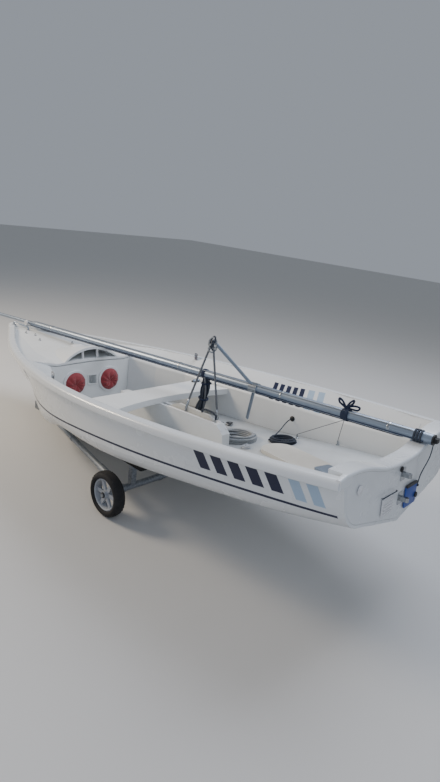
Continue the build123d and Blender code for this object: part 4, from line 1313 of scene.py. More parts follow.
@dataclass
class Mast:
    """The lowered mast's groove, sheave, rigging ends and ties."""

    radius: float = 0.031
    start: float = 0.16
    end: float = 4.27
    groove_angle: float = math.radians(28)
    groove_inset: Pair = (0.12, 0.01)
    groove_foot: float = 0.002
    halyard_radius: float = 0.003
    halyard_lift: float = 0.0032
    halyard_sink: float = 0.001
    halyard_rests: tuple[float, ...] = (1.0, 2.0, 3.0, 3.9)
    sheave_station: float = 0.20
    sheave_sink: float = 0.006
    sheave: Profile = (
        (0, 0), (0, 0.024), (0.004, 0.024), (0.0065, 0.020), (0.0095, 0.020), (0.012, 0.024),
        (0.016, 0.024), (0.016, 0.008), (0.019, 0.007), (0.019, 0))
    band_stations: tuple[float, ...] = (0.62, 2.35, 3.30, 4.05)
    band_width: float = 0.018
    band_thick: float = 0.0018
    tip: Place = (2.857, 0.0, 0.827)
    stay_end: Place = (2.650, 0.0, 0.372)
    stay_foot: Place = (2.634, -0.02, 0.2795)
    far_stay_foot: Place = (2.905, 0.035, 0.262)
    stay_radius: float = 0.0075
    fork_radius: float = 0.0060
    lashings: Profile = ((0.3, 0.024), (-0.4, 0.029), (1.1, 0.023), (-1.0, 0.027))
    lashing_radius: float = 0.0052
    strop_station: float = 2.61
    strop_loop: Pair = (0.030, 0.005)
    strop_top: Pair = (0.002, 0.02)
    strop_route: tuple[Place, ...] = (
        (2.622, 0.196, 0.50), (2.626, 0.196, 0.44), (2.612, 0.197, 0.38), (2.596, 0.198, 0.322),
        (2.566, 0.196, 0.24), (2.548, 0.195, 0.165), (2.546, 0.195, 0.120))
    strop_spread: tuple[float, ...] = (0.020, 0.028, 0.034, 0.022, 0.030, 0.033, 0.032, 0.040)
    strops: int = 14
    grey_strops: tuple[int, ...] = (3, 7, 11)
    strop_radius: float = 0.0064
    strop_steps: int = 44
    strop_twists: Pair = (1.32, 2.2)
    inner_strop: float = 0.35
    strop_ties: tuple[float, ...] = (0.16, 0.46)
    strop_tie_reach: float = 0.034
    strop_tie_radius: float = 0.007
    tie_station: float = 3.762
    tie_turn: Pair = (0.034, 0.006)
    second_turn: Pair = (0.022, 0.009)
    second_turn_aft: float = 0.020
    tie_lift: float = 0.010
    bow_radius: float = 0.0065
    bow_shape: Profile = ((0.5, 0.014), (1.0, 0.006), (0.9, -0.012), (0.4, -0.006))
    bow_loops: tuple[Place, ...] = ((-0.045, -0.02, 0.046), (0.040, 0.01, 0.052), (0.075, 0.03, 0.012))
    guy_feet: tuple[tuple[str, float, float], ...] = (
        ("mast_guy_forward", 3.262, 0.505), ("mast_guy_down", 3.560, 0.560))
    guy_radius: float = 0.0022
    guy_eye: Profile = (
        (0, 0), (0, 0.013), (0.006, 0.013), (0.010, 0.006), (0.028, 0.0055), (0.034, 0.004), (0.036, 0))
    guy_eye_hole: float = 0.030
    under_mast: float = 0.34
    heel_lashings: tuple[float, ...] = (4.205, 4.222, 4.240)
    heel_turn: Pair = (0.013, 0.0065)
    heel_turn_extra: float = 0.001

    def __post_init__(self) -> None:
        """Works out the mast's direction and the directions to port and down across it."""
        self.axis = (BOAT.mast(self.end) - BOAT.mast(self.start)).normalized()
        port = -TO_STARBOARD
        self.port = (port - self.axis * port.dot(self.axis)).normalized()
        self.down = self.port.cross(self.axis)
        if self.down.z > 0:
            self.down = -self.down

    def on(self, s: float, angle: float, out: float = 0.0) -> Vector:
        """Returns a point at a station, an angle below port and a distance outside the mast's skin."""
        toward = self.port * math.cos(angle) + self.down * math.sin(angle)
        return BOAT.mast(s) + toward * (self.radius + out)

    def groove(self) -> None:
        """Builds the luff groove's two lips with the dark slot between them."""
        fore, aft = self.start + self.groove_inset[0], self.end - self.groove_inset[1]
        for name, half, out, finish in (
                ("luff_groove_lips", 0.25, 0.0022, Finishes.mast),
                ("luff_groove_slot", 0.15, 0.0030, Finishes.groove)):
            foot = -self.groove_foot
            section = ((-1, foot), (-1, out), (-0.3, out), (0.3, out), (1, out), (1, foot))
            rings = [[self.on(s, self.groove_angle + half * side, depth) for side, depth in section]
                     for s in (fore, aft)]
            Piece(name).ring_band(rings).dress(finish)

    def halyards(self) -> None:
        """Builds the taut halyards that lie along the mast, and the sheave at its head."""
        run_in = 0.04
        run_out = 0.03
        for name, angle, first, last, finish in (
                ("main_halyard", -0.9, 0.22, 4.20, Finishes.rope),
                ("jib_halyard", 1.25, 0.42, 4.14, Finishes.dark_rope)):
            rests = (first + run_in, *self.halyard_rests, last - run_out)
            path = [self.on(first, angle, -self.halyard_sink)]
            path += [self.on(s, angle, self.halyard_lift) for s in rests]
            path.append(self.on(last, angle, -self.halyard_sink))
            tube(name, path, self.halyard_radius, 8).dress(finish)
        centre = self.on(self.sheave_station, 0.0, -self.sheave_sink)
        turned("mast_head_sheave", centre, centre + self.port, self.sheave).dress(Finishes.moulded)
        for s in self.band_stations:
            name = f"mast_band_{int(s * 100)}"
            self.band(name, s, self.band_width, self.band_thick, Finishes.stainless)

    def band(self, name: str, s: float, width: float, thick: float, finish: Finish) -> None:
        """Wraps a band round the mast.

        Args:
            name: The piece's name.
            s: Station of its middle.
            width: Its width along the mast.
            thick: How far it stands off the mast.
            finish: Its surface.
        """
        foot, edge = -0.001, thick * 0.6
        section = ((-1, foot), (-1, edge), (-0.8, thick), (0.8, thick), (1, edge), (1, foot))
        rings = [[self.on(s + side * width / 2, a, out) for side, out in section] for a in turns(28)]
        Piece(name).ring_band(rings, loop=True).dress(finish)

    def stays(self) -> None:
        """Builds the stay ends that run from the spreader's tip down to the cockpit, with their screws."""
        tip, low, foot, far = (BOAT.at(*place) for place in (
            self.tip, self.stay_end, self.stay_foot, self.far_stay_foot))
        for name, start, end, radius, finish in (
                ("stay_port", tip, low, self.stay_radius, Finishes.sleeve),
                ("stay_port_screw", low, low.lerp(foot, 0.78), 0.0095, Finishes.stainless),
                ("stay_port_fork", low.lerp(foot, 0.15), foot, self.fork_radius, Finishes.stainless),
                ("stay_starboard", tip, far.lerp(tip, 0.14), self.stay_radius, Finishes.sleeve),
                ("stay_starboard_screw", far.lerp(tip, 0.15), far.lerp(tip, 0.02), 0.0092,
                 Finishes.stainless),
                ("stay_starboard_fork", far.lerp(tip, 0.05), far, self.fork_radius, Finishes.stainless)):
            rod(name, start, end, radius).dress(finish, slot="stainless")

    def tip_lashings(self) -> None:
        """Builds the turns of line that lash the stays at the spreader's tip, each at its own tilt."""
        first_drop, pitch, stretch = 0.006, 0.016, 1.35
        for k, (tilt, radius) in enumerate(self.lashings):
            across = Vector((math.sin(tilt), math.cos(tilt), 0.25 * (k - 1.5))).normalized()
            first = across.cross(STRAIGHT_UP).normalized()
            second = across.cross(first)
            centre = BOAT.at(*self.tip) - BOAT.up * (first_drop + pitch * k)
            loop = oval(centre, first * radius, second * (stretch * radius), 24)
            hoop(f"tip_lashing_{k + 1}", loop, self.lashing_radius).dress(
                Finishes.rope if k % 2 else Finishes.dark_rope)

    def bundle(self) -> None:
        """Builds the bound bundle of navy strops that hangs taut from the mast to the sole."""
        out, down = self.strop_top
        top = BOAT.mast(self.strop_station) + self.port * out - BOAT.up * down
        centre = smooth_path([top] + [BOAT.at(*place) for place in self.strop_route], self.strop_steps)
        frames = frames_along(centre, TO_STARBOARD)
        last = len(self.strop_spread) - 1
        spread = tuple((k / last, reach) for k, reach in enumerate(self.strop_spread))
        for strand in range(self.strops):
            outward = ((strand * 5) % self.strops) / (self.strops - 1)
            share = self.inner_strop + (1 - self.inner_strop) * outward
            twist = self.strop_twists[strand % 2]
            path = []
            for i, (point, (side, above)) in enumerate(zip(centre, frames)):
                place = i / (len(centre) - 1)
                reach = follow(spread, place) * share
                angle = 2 * math.pi * strand / self.strops + twist * place
                path.append(point + side * (reach * math.cos(angle)) + above * (reach * math.sin(angle)))
            finish = Finishes.sleeve if strand in self.grey_strops else Finishes.dark_rope
            tube(f"strop_{strand + 1}", path, self.strop_radius, 8, TO_STARBOARD).dress(finish)
        for k, place in enumerate(self.strop_ties):
            i = int(place * (len(centre) - 1))
            side, above = frames[i]
            ring = oval(centre[i], side * self.strop_tie_reach, above * self.strop_tie_reach, 24)
            hoop(f"strop_tie_{k + 1}", ring, self.strop_tie_radius).dress(Finishes.webbing)
        self.band("strop_loop", self.strop_station, *self.strop_loop, Finishes.webbing)

    def tie(self) -> None:
        """Builds the webbing tie round the mast, with its bow on top."""
        s = self.tie_station
        self.band("mast_tie", s, *self.tie_turn, Finishes.webbing)
        self.band("mast_tie_second_turn", s + self.second_turn_aft, *self.second_turn, Finishes.webbing)
        top = self.on(s, -math.pi / 2, self.tie_lift)
        for k, reach in enumerate(self.bow_loops):
            side = Vector(reach)
            loop = [top, *(top + side * share + STRAIGHT_UP * rise for share, rise in self.bow_shape), top]
            tube(f"mast_tie_bow_{k + 1}", smooth_path(loop, 22), self.bow_radius, 8,
                 Vector((0.3, 1, 0))).dress(Finishes.webbing)

    def guys(self) -> None:
        """Builds the taut lines that hold the tie to eyes on the sole and the side tank."""
        under = self.on(self.tie_station, math.pi / 2, self.tie_turn[1])
        floor = Skin("cockpit_sole", "side_tank_starboard")
        for name, s, y in self.guy_feet:
            foot, normal = floor.hit(BOAT.at(s, y, self.under_mast), -BOAT.up)
            rod(name, under, foot + normal * self.guy_eye_hole, self.guy_radius).dress(Finishes.sleeve)
            turned(f"{name}_eye", foot - normal * 0.002, foot + normal, self.guy_eye, 14).dress(
                Finishes.stainless)

    def heel(self) -> None:
        """Builds the lashing turns round the mast heel."""
        width, thick = self.heel_turn
        for k, s in enumerate(self.heel_lashings):
            self.band(f"heel_lashing_{k + 1}", s, width, thick + self.heel_turn_extra * (k % 2),
                      Finishes.dark_rope)

    def build(self) -> None:
        """Builds every piece on the mast."""
        self.groove()
        self.halyards()
        self.stays()
        self.tip_lashings()
        self.bundle()
        self.tie()
        self.guys()
        self.heel()


@dataclass
class Bow:
    """Fittings at the bow: foredeck bar, stem eye, deck eyes and the hood's crown fitting."""

    sink: float = 0.002
    bar_ends: Profile = ((0.135, -0.030), (0.300, 0.031))
    bar_lift: float = 0.030
    bar_radius: float = 0.0075
    bar_foot: Profile = ((0, 0), (0, 0.019), (0.004, 0.019), (0.008, 0.011), (0.008, 0))
    stem_eye_heights: Pair = (0.390, 0.335)
    stem_eye_reach: float = 0.028
    stem_eye_radius: float = 0.0045
    deck_eyes: Profile = ((0.42, -0.055), (0.55, -0.03), (0.74, -0.09), (0.95, 0.12))
    deck_eye_half: float = 0.011
    deck_eye_rise: float = 0.016
    deck_eye_radius: float = 0.0026
    deck_eye_foot: Profile = ((0, 0), (0, 0.008), (0.003, 0.008), (0.006, 0.004), (0.006, 0))
    crown_station: float = 1.24
    crown_low: Pair = (-0.045, -0.055)
    crown_high: Pair = (0.045, 0.065)
    crown_corner: float = 0.016
    crown_curve: float = 1.3
    crown_rings: tuple[Pair, ...] = ((1.0, -0.012), (1.0, 0.005), (0.9, 0.009))

    def __post_init__(self) -> None:
        """Joins what the deck fittings stand on."""
        self.deck = Skin("foredeck", "gunwale", "foredeck_hood")

    def bar(self) -> None:
        """Builds the tube that stands across the foredeck on two short feet."""
        first, last = (self.deck.below(s, y)[0] for s, y in self.bar_ends)
        lift = BOAT.up * self.bar_lift
        path = [first, first + lift * 0.8, first.lerp(last, 0.12) + lift, first.lerp(last, 0.88) + lift,
                last + lift * 0.8, last]
        tube("foredeck_bar", smooth_path(path, 26), self.bar_radius, 12, Vector((0, 1, 0.2))).dress(
            Finishes.mast)
        for k, end in enumerate((first, last)):
            start = end - BOAT.up * self.sink
            turned(f"foredeck_bar_foot_{k + 1}", start, end + BOAT.up, self.bar_foot, 20).dress(
                Finishes.stainless)

    def stem_eye(self) -> None:
        """Builds the U-shaped eye that stands out of the stem."""
        skin = Skin("hull")
        top, low = (skin.hit(BOAT.at(-1.0, 0.002, h), BOAT.aft)[0] for h in self.stem_eye_heights)
        out = (top - low).cross(TO_STARBOARD).normalized() * self.stem_eye_reach
        out = out if out.dot(BOAT.aft) < 0 else -out
        path = [top - out * 0.2, top + out * 0.6, (top + low) / 2 + out, low + out * 0.6, low - out * 0.2]
        tube("stem_eye", smooth_path(path, 20), self.stem_eye_radius, 10, TO_STARBOARD).dress(
            Finishes.stainless)

    def eyes(self) -> None:
        """Builds small arched deck eyes beside the mast, each on two feet."""
        for k, (s, y) in enumerate(self.deck_eyes):
            foot = self.deck.below(s, y)[0]
            for sign, end_name in ((-1, "fore"), (1, "aft")):
                end = foot + Vector((self.deck_eye_half * sign, 0, 0))
                start = end - BOAT.up * self.sink
                turned(f"deck_eye_{k + 1}_{end_name}", start, end + BOAT.up, self.deck_eye_foot, 14).dress(
                    Finishes.stainless)
            arch = []
            for n in range(11):
                a = math.pi * n / 10
                rise = 2 * self.sink + self.deck_eye_rise * math.sin(a)
                arch.append(foot + Vector((self.deck_eye_half * math.cos(a), 0, 0)) + BOAT.up * rise)
            tube(f"deck_eye_{k + 1}", arch, self.deck_eye_radius, 8, TO_STARBOARD).dress(Finishes.stainless)

    def crown(self) -> None:
        """Builds the moulded fitting on the hood's crown, bent down at its sides as the hood is."""
        crown = self.deck.below(self.crown_station, 0.0)[0]
        outline = rounded_box(self.crown_low, self.crown_high, self.crown_corner)
        rings = [[crown + Vector((x, y, 0)) * scale + BOAT.up * (rise - self.crown_curve * y * y)
                  for x, y in outline] for scale, rise in self.crown_rings]
        Piece("hood_fitting").ring_band(rings).dress(Finishes.moulded)

    def build(self) -> None:
        """Builds every bow fitting."""
        self.bar()
        self.stem_eye()
        self.eyes()
        self.crown()


@dataclass(frozen=True)
class Block:
    """A sheet block that lies on its cheek: where its pin is, its heading, its size and its finish."""

    name: str
    station: float
    y: float
    heading: float
    size: float
    cheek: Finish


@dataclass
class Cockpit:
    """What is fixed or lies in the cockpit: cam cleats, the case's capping, the board's handle, blocks."""

    cleats: tuple[tuple[str, float, float], ...] = (
        ("cam_cleat_starboard", 2.150, 0.560), ("cam_cleat_port", 2.150, -0.560))
    cleat_half: Pair = (0.021, 0.036)
    cleat_corner: float = 0.012
    cleat_rings: Profile = ((1.0, -0.002), (1.0, 0.006), (0.92, 0.009))
    cam_place: Place = (0.002, 0.018, 0.008)
    cam_radius: float = 0.012
    cam_throw: float = 0.005
    cam_lead: float = 0.5
    cam_tooth: float = 0.0012
    cam_teeth: int = 12
    cam_rings: Profile = ((1.0, 0.0), (1.0, 0.012), (0.8, 0.015))
    capping_y: float = 0.028
    capping_stations: tuple[float, ...] = (2.47, 2.93, 3.0)
    capping_section: Profile = (
        (-0.008, -0.001), (0.010, -0.001), (0.011, 0.003), (0.007, 0.007), (-0.005, 0.007),
        (-0.008, 0.004))
    handle_route: Profile = (
        (-0.075, -0.012), (-0.070, 0.020), (0.0, 0.030), (0.055, 0.018), (0.060, -0.014))
    handle_radius: float = 0.007
    blocks: tuple[Block, ...] = (
        Block("mainsheet_block_upper", 2.560, 0.200, 2.6, 0.030, Finishes.black),
        Block("mainsheet_block_lower", 2.610, 0.310, 0.9, 0.036, Finishes.rim),
        Block("jib_block_port", 2.700, 0.400, -0.7, 0.028, Finishes.black),
        Block("jib_block_starboard", 3.150, 0.065, 2.1, 0.030, Finishes.rim))
    # A block's own sizes, as shares of its radius: its nose, its cheeks, sheave, pin and shackle.
    block_nose: float = 0.42
    cheek_lows: Pair = (0.0, 0.50)
    cheek_rings: Profile = ((0.93, 0.0), (1.0, 0.056), (1.0, 0.112), (0.9, 0.16))
    block_sheave: Profile = (
        (0, 0), (0, 0.88), (0.08, 0.88), (0.16, 0.74), (0.24, 0.88), (0.32, 0.88), (0.32, 0))
    block_pin: Profile = ((0, 0), (0, 0.2), (0.06, 0.2), (0.10, 0.12), (0.10, 0))
    sheave_up: float = 0.17
    pin_up: float = 0.64
    shackle_up: float = 0.33
    shackle_ahead: float = 1.77
    shackle_half: Pair = (0.52, 0.34)
    shackle_radius: float = 0.09
    patch_stations: tuple[float, ...] = (4.000, 4.030, 4.060, 4.085)
    patch_ys: tuple[float, ...] = (0.565, 0.585, 0.605, 0.625)
    patch_lift: float = 0.0025

    def cleat(self, name: str, s: float, y: float) -> None:
        """Builds a cam cleat on the thwart: its base and two toothed cams.

        Args:
            name: The pieces' name.
            s: Station of its middle.
            y: Its distance to starboard.
        """
        foot = Skin("thwart").below(s, y)[0]
        half_long, half_wide = self.cleat_half
        base = rounded_box((-half_long, -half_wide), self.cleat_half, self.cleat_corner)
        rings = [[foot + Vector((x * k, v * k, 0)) + BOAT.up * lift for x, v in base]
                 for k, lift in self.cleat_rings]
        Piece(f"{name}_base").ring_band(rings).dress(Finishes.black)
        ahead, out, rise = self.cam_place
        for side in Side:
            centre = foot + Vector((ahead, out * side.value, 0)) + BOAT.up * rise
            outline = []
            for k, a in enumerate(turns(2 * self.cam_teeth)):
                reach = self.cam_radius + self.cam_throw * math.cos(a - self.cam_lead * side.value)
                reach += self.cam_tooth if k % 2 else 0
                outline.append(Vector((reach * math.cos(a), reach * math.sin(a), 0)))
            cam = [[centre + p * k + BOAT.up * lift for p in outline] for k, lift in self.cam_rings]
            Piece(f"{name}_cam_{side.word}").ring_band(cam).dress(Finishes.mast)

    def capping(self) -> None:
        """Builds the capping rails along the centreboard case's two upper edges."""
        case = Skin("centreboard_case", "thwart")
        for side in Side:
            rings = []
            for s in self.capping_stations:
                foot = case.below(s, side.value * self.capping_y)[0]
                rings.append([foot + TO_STARBOARD * (y * side.value) + BOAT.up * h
                              for y, h in self.capping_section])
            Piece(f"case_capping_{side.word}").ring_band(rings).dress(Finishes.moulded)

    def handle(self) -> None:
        """Builds the rope grab handle over the top of the board's head."""
        vertices = frame["nodes"]["centreboard_head"].data.vertices
        high = max((v.co for v in vertices), key=lambda co: co.z)
        grip = [Vector((high.x + x, 0, high.z + z)) for x, z in self.handle_route]
        tube("board_handle", smooth_path(grip, 22), self.handle_radius, 12, TO_STARBOARD).dress(
            Finishes.dark_rope)

    def block(self, block: Block, sole: Skin) -> None:
        """Builds a sheet block that lies on its cheek: two cheeks, sheave, pin and shackle.

        Args:
            block: The block's place, size and finish.
            sole: The surface that it lies on.
        """
        size, name = block.size, block.name
        foot, up = sole.below(block.station, block.y)
        level = Vector((math.cos(block.heading), math.sin(block.heading), 0))
        ahead = (level - up * up.dot(level)).normalized()
        across = up.cross(ahead)
        outline = []
        for a in turns(28):
            reach = 1 + self.block_nose * max(0.0, math.cos(a))**4
            outline.append(ahead * (reach * math.cos(a)) + across * math.sin(a))
        for k, low in enumerate(self.cheek_lows):
            rings = [[foot + p * (size * scale) + up * (size * (low + rise)) for p in outline]
                     for scale, rise in self.cheek_rings]
            Piece(f"{name}_cheek_{k + 1}").ring_band(rings).dress(block.cheek)
        base, head = foot + up * (size * self.sheave_up), foot + up * (size * self.pin_up)
        turned(f"{name}_sheave", base, base + up, self.block_sheave, 32, size).dress(Finishes.moulded)
        turned(f"{name}_pin", head, head + up, self.block_pin, 16, size).dress(Finishes.stainless)
        middle = foot + up * (size * self.shackle_up) + ahead * (size * self.shackle_ahead)
        long, wide = self.shackle_half
        loop = oval(middle, -ahead * (size * long), across * (size * wide), 20)
        hoop(f"{name}_shackle", loop, size * self.shackle_radius).dress(Finishes.stainless)

    def build(self) -> None:
        """Builds the cockpit's details."""
        for name, s, y in self.cleats:
            self.cleat(name, s, y)
        self.capping()
        self.handle()
        sole = Skin("cockpit_sole")
        for block in self.blocks:
            self.block(block, sole)
        deck = Skin("side_tank_starboard")
        patch = [[deck.below(s, y) for y in self.patch_ys] for s in self.patch_stations]
        decal("deck_patch", patch, self.patch_lift).dress(Finishes.moulded)


@dataclass(frozen=True)
class Coil:
    """One sheet coiled down on the sole; sizes in metres.

    Layers are listed from the top one down, as turns in each. The lead is where the rope runs before it.
    """

    name: str
    station: float
    y: float
    half_length: float
    half_width: float
    diameter: float
    layers: tuple[float, ...]
    first_inset: float
    start_angle: float
    way: int
    lead: tuple[Place, ...]
    length: float
    finish: Finish
    per_turn: int = 16
    turn_gap: float = 1.13
    layer_gap: float = 1.1
    drop_share: float = 0.2

    def route(self) -> list[Vector]:
        """Works out the rope's control points: its lead, then each layer's turns, one on the other.

        Returns:
            The points, from where the rope leaves its fairlead to its bare end.
        """
        fore, aft = BOAT.sole(self.station - self.half_length), BOAT.sole(self.station + self.half_length)
        rise = (aft - fore) / (2 * self.half_length)
        pitch = self.diameter * self.turn_gap
        points = [BOAT.at(*place) for place in self.lead]
        inset, inward, angle = self.first_inset, 1, self.start_angle
        for layer, count in enumerate(self.layers):
            level = len(self.layers) - 1 - layer
            for k in range(int(count * self.per_turn)):
                drop = max(0.0, 1 - k / (self.per_turn * self.drop_share)) if layer else 0.0
                lift = self.diameter * (0.5 + self.layer_gap * (level + drop * drop * (3 - 2 * drop)))
                ds = (self.half_length - inset) * math.cos(angle)
                dy = (self.half_width - inset) * math.sin(angle)
                h = (fore + aft) / 2 + rise * ds + lift
                points.append(BOAT.at(self.station + ds - rise * lift, self.y + dy, h))
                angle += self.way * 2 * math.pi / self.per_turn
                inset += inward * pitch / self.per_turn
            inward = -inward
        return points


@dataclass
class Cords:
    """The free cords: two coiled sheets and the line that hangs down the transom."""

    coils: tuple[Coil, ...] = (
        Coil("mainsheet", 2.970, 0.190, 0.160, 0.145, 0.010, (2.0, 4.0, 5.0, 5.2), 0.036,
             math.radians(188), -1,
             ((2.852, 0.0385, 0.190), (2.8505, 0.062, 0.190), (2.8455, 0.090, 0.182),
              (2.8430, 0.120, 0.170), (2.8435, 0.150, 0.161)), 11.26, Finishes.rope),
        Coil("jib_sheet", 3.240, 0.360, 0.110, 0.098, 0.008, (1.5, 3.0, 4.0, 4.7), 0.024,
             math.radians(160), 1,
             ((3.150, 0.5855, 0.236), (3.149, 0.560, 0.236), (3.147, 0.530, 0.226),
              (3.146, 0.495, 0.205), (3.147, 0.455, 0.180), (3.150, 0.420, 0.165)), 6.48,
             Finishes.dark_rope))
    line_route: tuple[Place, ...] = (
        (4.3070, 0.2697, 0.4224), (4.3050, 0.2660, 0.3750), (4.2970, 0.2500, 0.3280),
        (4.2860, 0.2280, 0.2840), (4.2800, 0.2080, 0.2420), (4.2790, 0.2000, 0.2040))
    line_diameter: float = 0.006
    line_length: float = 0.234
    whipping_lap: float = 0.018
    whipping_end: float = 0.0005
    fairlead_sink: float = 0.003
    fairlead: Profile = ((0, 0.021), (0.004, 0.021), (0.009, 0.014), (0.012, 0.009))

    def rope(self, name: str, points: list[Vector], diameter: float, finish: Finish,
             node: str) -> bpy.types.Object:
        """Makes a smooth rope along control points, in place of a CAD node.

        Args:
            name: The piece's name.
            points: The NURBS spline's control points.
            diameter: The rope's thickness.
            finish: Its surface.
            node: The CAD node that it stands for.

        Returns:
            The rope, a curve of one open spline.
        """
        data = bpy.data.curves.new(name, "CURVE")
        data.dimensions = "3D"
        data.bevel_depth = diameter / 2
        data.bevel_resolution = 2
        data.resolution_u = 4
        data.use_fill_caps = True
        spline = data.splines.new("NURBS")
        spline.points.add(len(points) - 1)
        for control, point in zip(spline.points, points):
            control.co = (*point, 1.0)
        spline.order_u = 3
        spline.use_endpoint_u = True
        piece = bpy.data.objects.new(name, data)
        bpy.context.scene.collection.objects.link(piece)
        data.materials.append(finish.material())
        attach(piece, "boat")
        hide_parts(node)
        return piece

    def coil(self, coil: Coil) -> None:
        """Builds one coiled sheet with its whipped end and the fairlead that it leaves.

        Args:
            coil: The sheet's sizes, route and finish.
        """
        points, thick = coil.route(), coil.diameter
        rope = self.rope(coil.name, points, thick, coil.finish, f"{coil.name}_coil")
        end_way = (points[-1] - points[-2]).normalized()
        lap, end = self.whipping_lap, self.whipping_lap + self.whipping_end
        whipping = turned(
            f"{coil.name}_whipping", points[-1] - end_way * lap, points[-1],
            ((0, thick * 0.4), (0, thick * 0.56), (lap - self.whipping_end, thick * 0.56),
             (end, thick * 0.4), (end, 0)), 16).dress(Finishes.groove, slot="dark_rope")
        start = points[0]
        way = (points[1] - start).normalized()
        turned(f"{coil.name}_fairlead", start - way * self.fairlead_sink, start + way,
               ((0, thick * 0.5), *self.fairlead, (0.010, thick * 0.52), (0.003, thick * 0.5)), 24).dress(
                   Finishes.black)

    def hanging_line(self) -> None:
        """Builds the short line that hangs down from the mast heel."""
        points = [BOAT.at(*place) for place in self.line_route]
        line = self.rope("heel_line", points, self.line_diameter, Finishes.dark_rope, "transom_line")

    def build(self) -> None:
        """Builds every cord."""
        for coil in self.coils:
            self.coil(coil)
        self.hanging_line()


@dataclass
class Bags:
    """The two red cloth spinnaker bags, puffed out of their rings and pleated at the mouth."""

    voxel: float = 0.006
    pressure: float = 4.0
    spare_cloth: float = -0.06
    steps: int = 16
    furthest: float = 0.012
    behind_mouth: float = 0.1
    mouth_depth: float = 0.05
    pleats: int = 9
    pleat_drift: float = 2.0
    pleat_spiral: float = 40.0
    pleat_height: float = 0.0045
    pucker_depth: float = 0.016
    pucker_radius: float = 0.05
    fill: float = 0.4

    def puff(self, bag: bpy.types.Object) -> None:
        """Lets cloth simulation swell a bag.

        Args:
            bag: The bag, remeshed.
        """
        cloth = bag.modifiers.new("cloth", "CLOTH")
        cloth.settings.use_pressure = True
        cloth.settings.uniform_pressure_force = self.pressure
        cloth.settings.effector_weights.gravity = 0.0
        cloth.settings.shrink_min = self.spare_cloth
        for number in range(1, self.steps + 1):
            bpy.context.scene.frame_set(number)
        bpy.ops.object.modifier_apply(modifier=cloth.name)
        bpy.context.scene.frame_set(1)

    def pleat(self, bag: bpy.types.Object, rest: list[Vector]) -> None:
        """Caps how far the cloth moved, and gathers it in pleats round the drawn mouth.

        Args:
            bag: The bag, puffed.
            rest: Where its vertices were before.
        """
        centre = sum(rest, Vector()) / len(rest)
        mouth = max(v.x for v in rest)
        for vertex, start in zip(bag.data.vertices, rest):
            moved = vertex.co - start
            if moved.length > self.furthest:
                moved *= self.furthest / moved.length
            y, z = start.y - centre.y, start.z - centre.z
            around, reach = math.atan2(z, y), math.hypot(y, z)
            front = max(0.0, 1 - (mouth - start.x) / self.mouth_depth)
            drift = self.pleat_drift * math.sin(2 * around) + self.pleat_spiral * reach
            fold = math.sin(self.pleats * around + drift)
            pucker = self.pucker_depth * max(0.0, 1 - reach / self.pucker_radius)
            moved += Vector((self.pleat_height * fold - pucker, 0, 0)) * front
            vertex.co = start + moved * (1.0 if front else self.behind_mouth)

    def bag(self, side: Side) -> None:
        """Turns one plain bag solid into soft cloth.

        Args:
            side: Which side of the boat.
        """
        node = f"spinnaker_bag_{side.word}"
        bag = bpy.data.objects.new(f"red_bag_{side.word}", frame["nodes"][node].data.copy())
        bpy.context.scene.collection.objects.link(bag)
        bag.data.materials.clear()
        bag.data.materials.append(Finishes.red_cloth.material())
        bag.data.remesh_voxel_size = self.voxel
        bpy.context.view_layer.objects.active = bag
        bpy.ops.object.select_all(action="DESELECT")
        bag.select_set(True)
        bpy.ops.object.voxel_remesh()
        rest = [v.co.copy() for v in bag.data.vertices]
        self.puff(bag)
        self.pleat(bag, rest)
        bag.data.shade_smooth()
        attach(bag, "boat")
        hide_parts(node)

    def build(self) -> None:
        """Builds both bags."""
        for side in Side:
            self.bag(side)


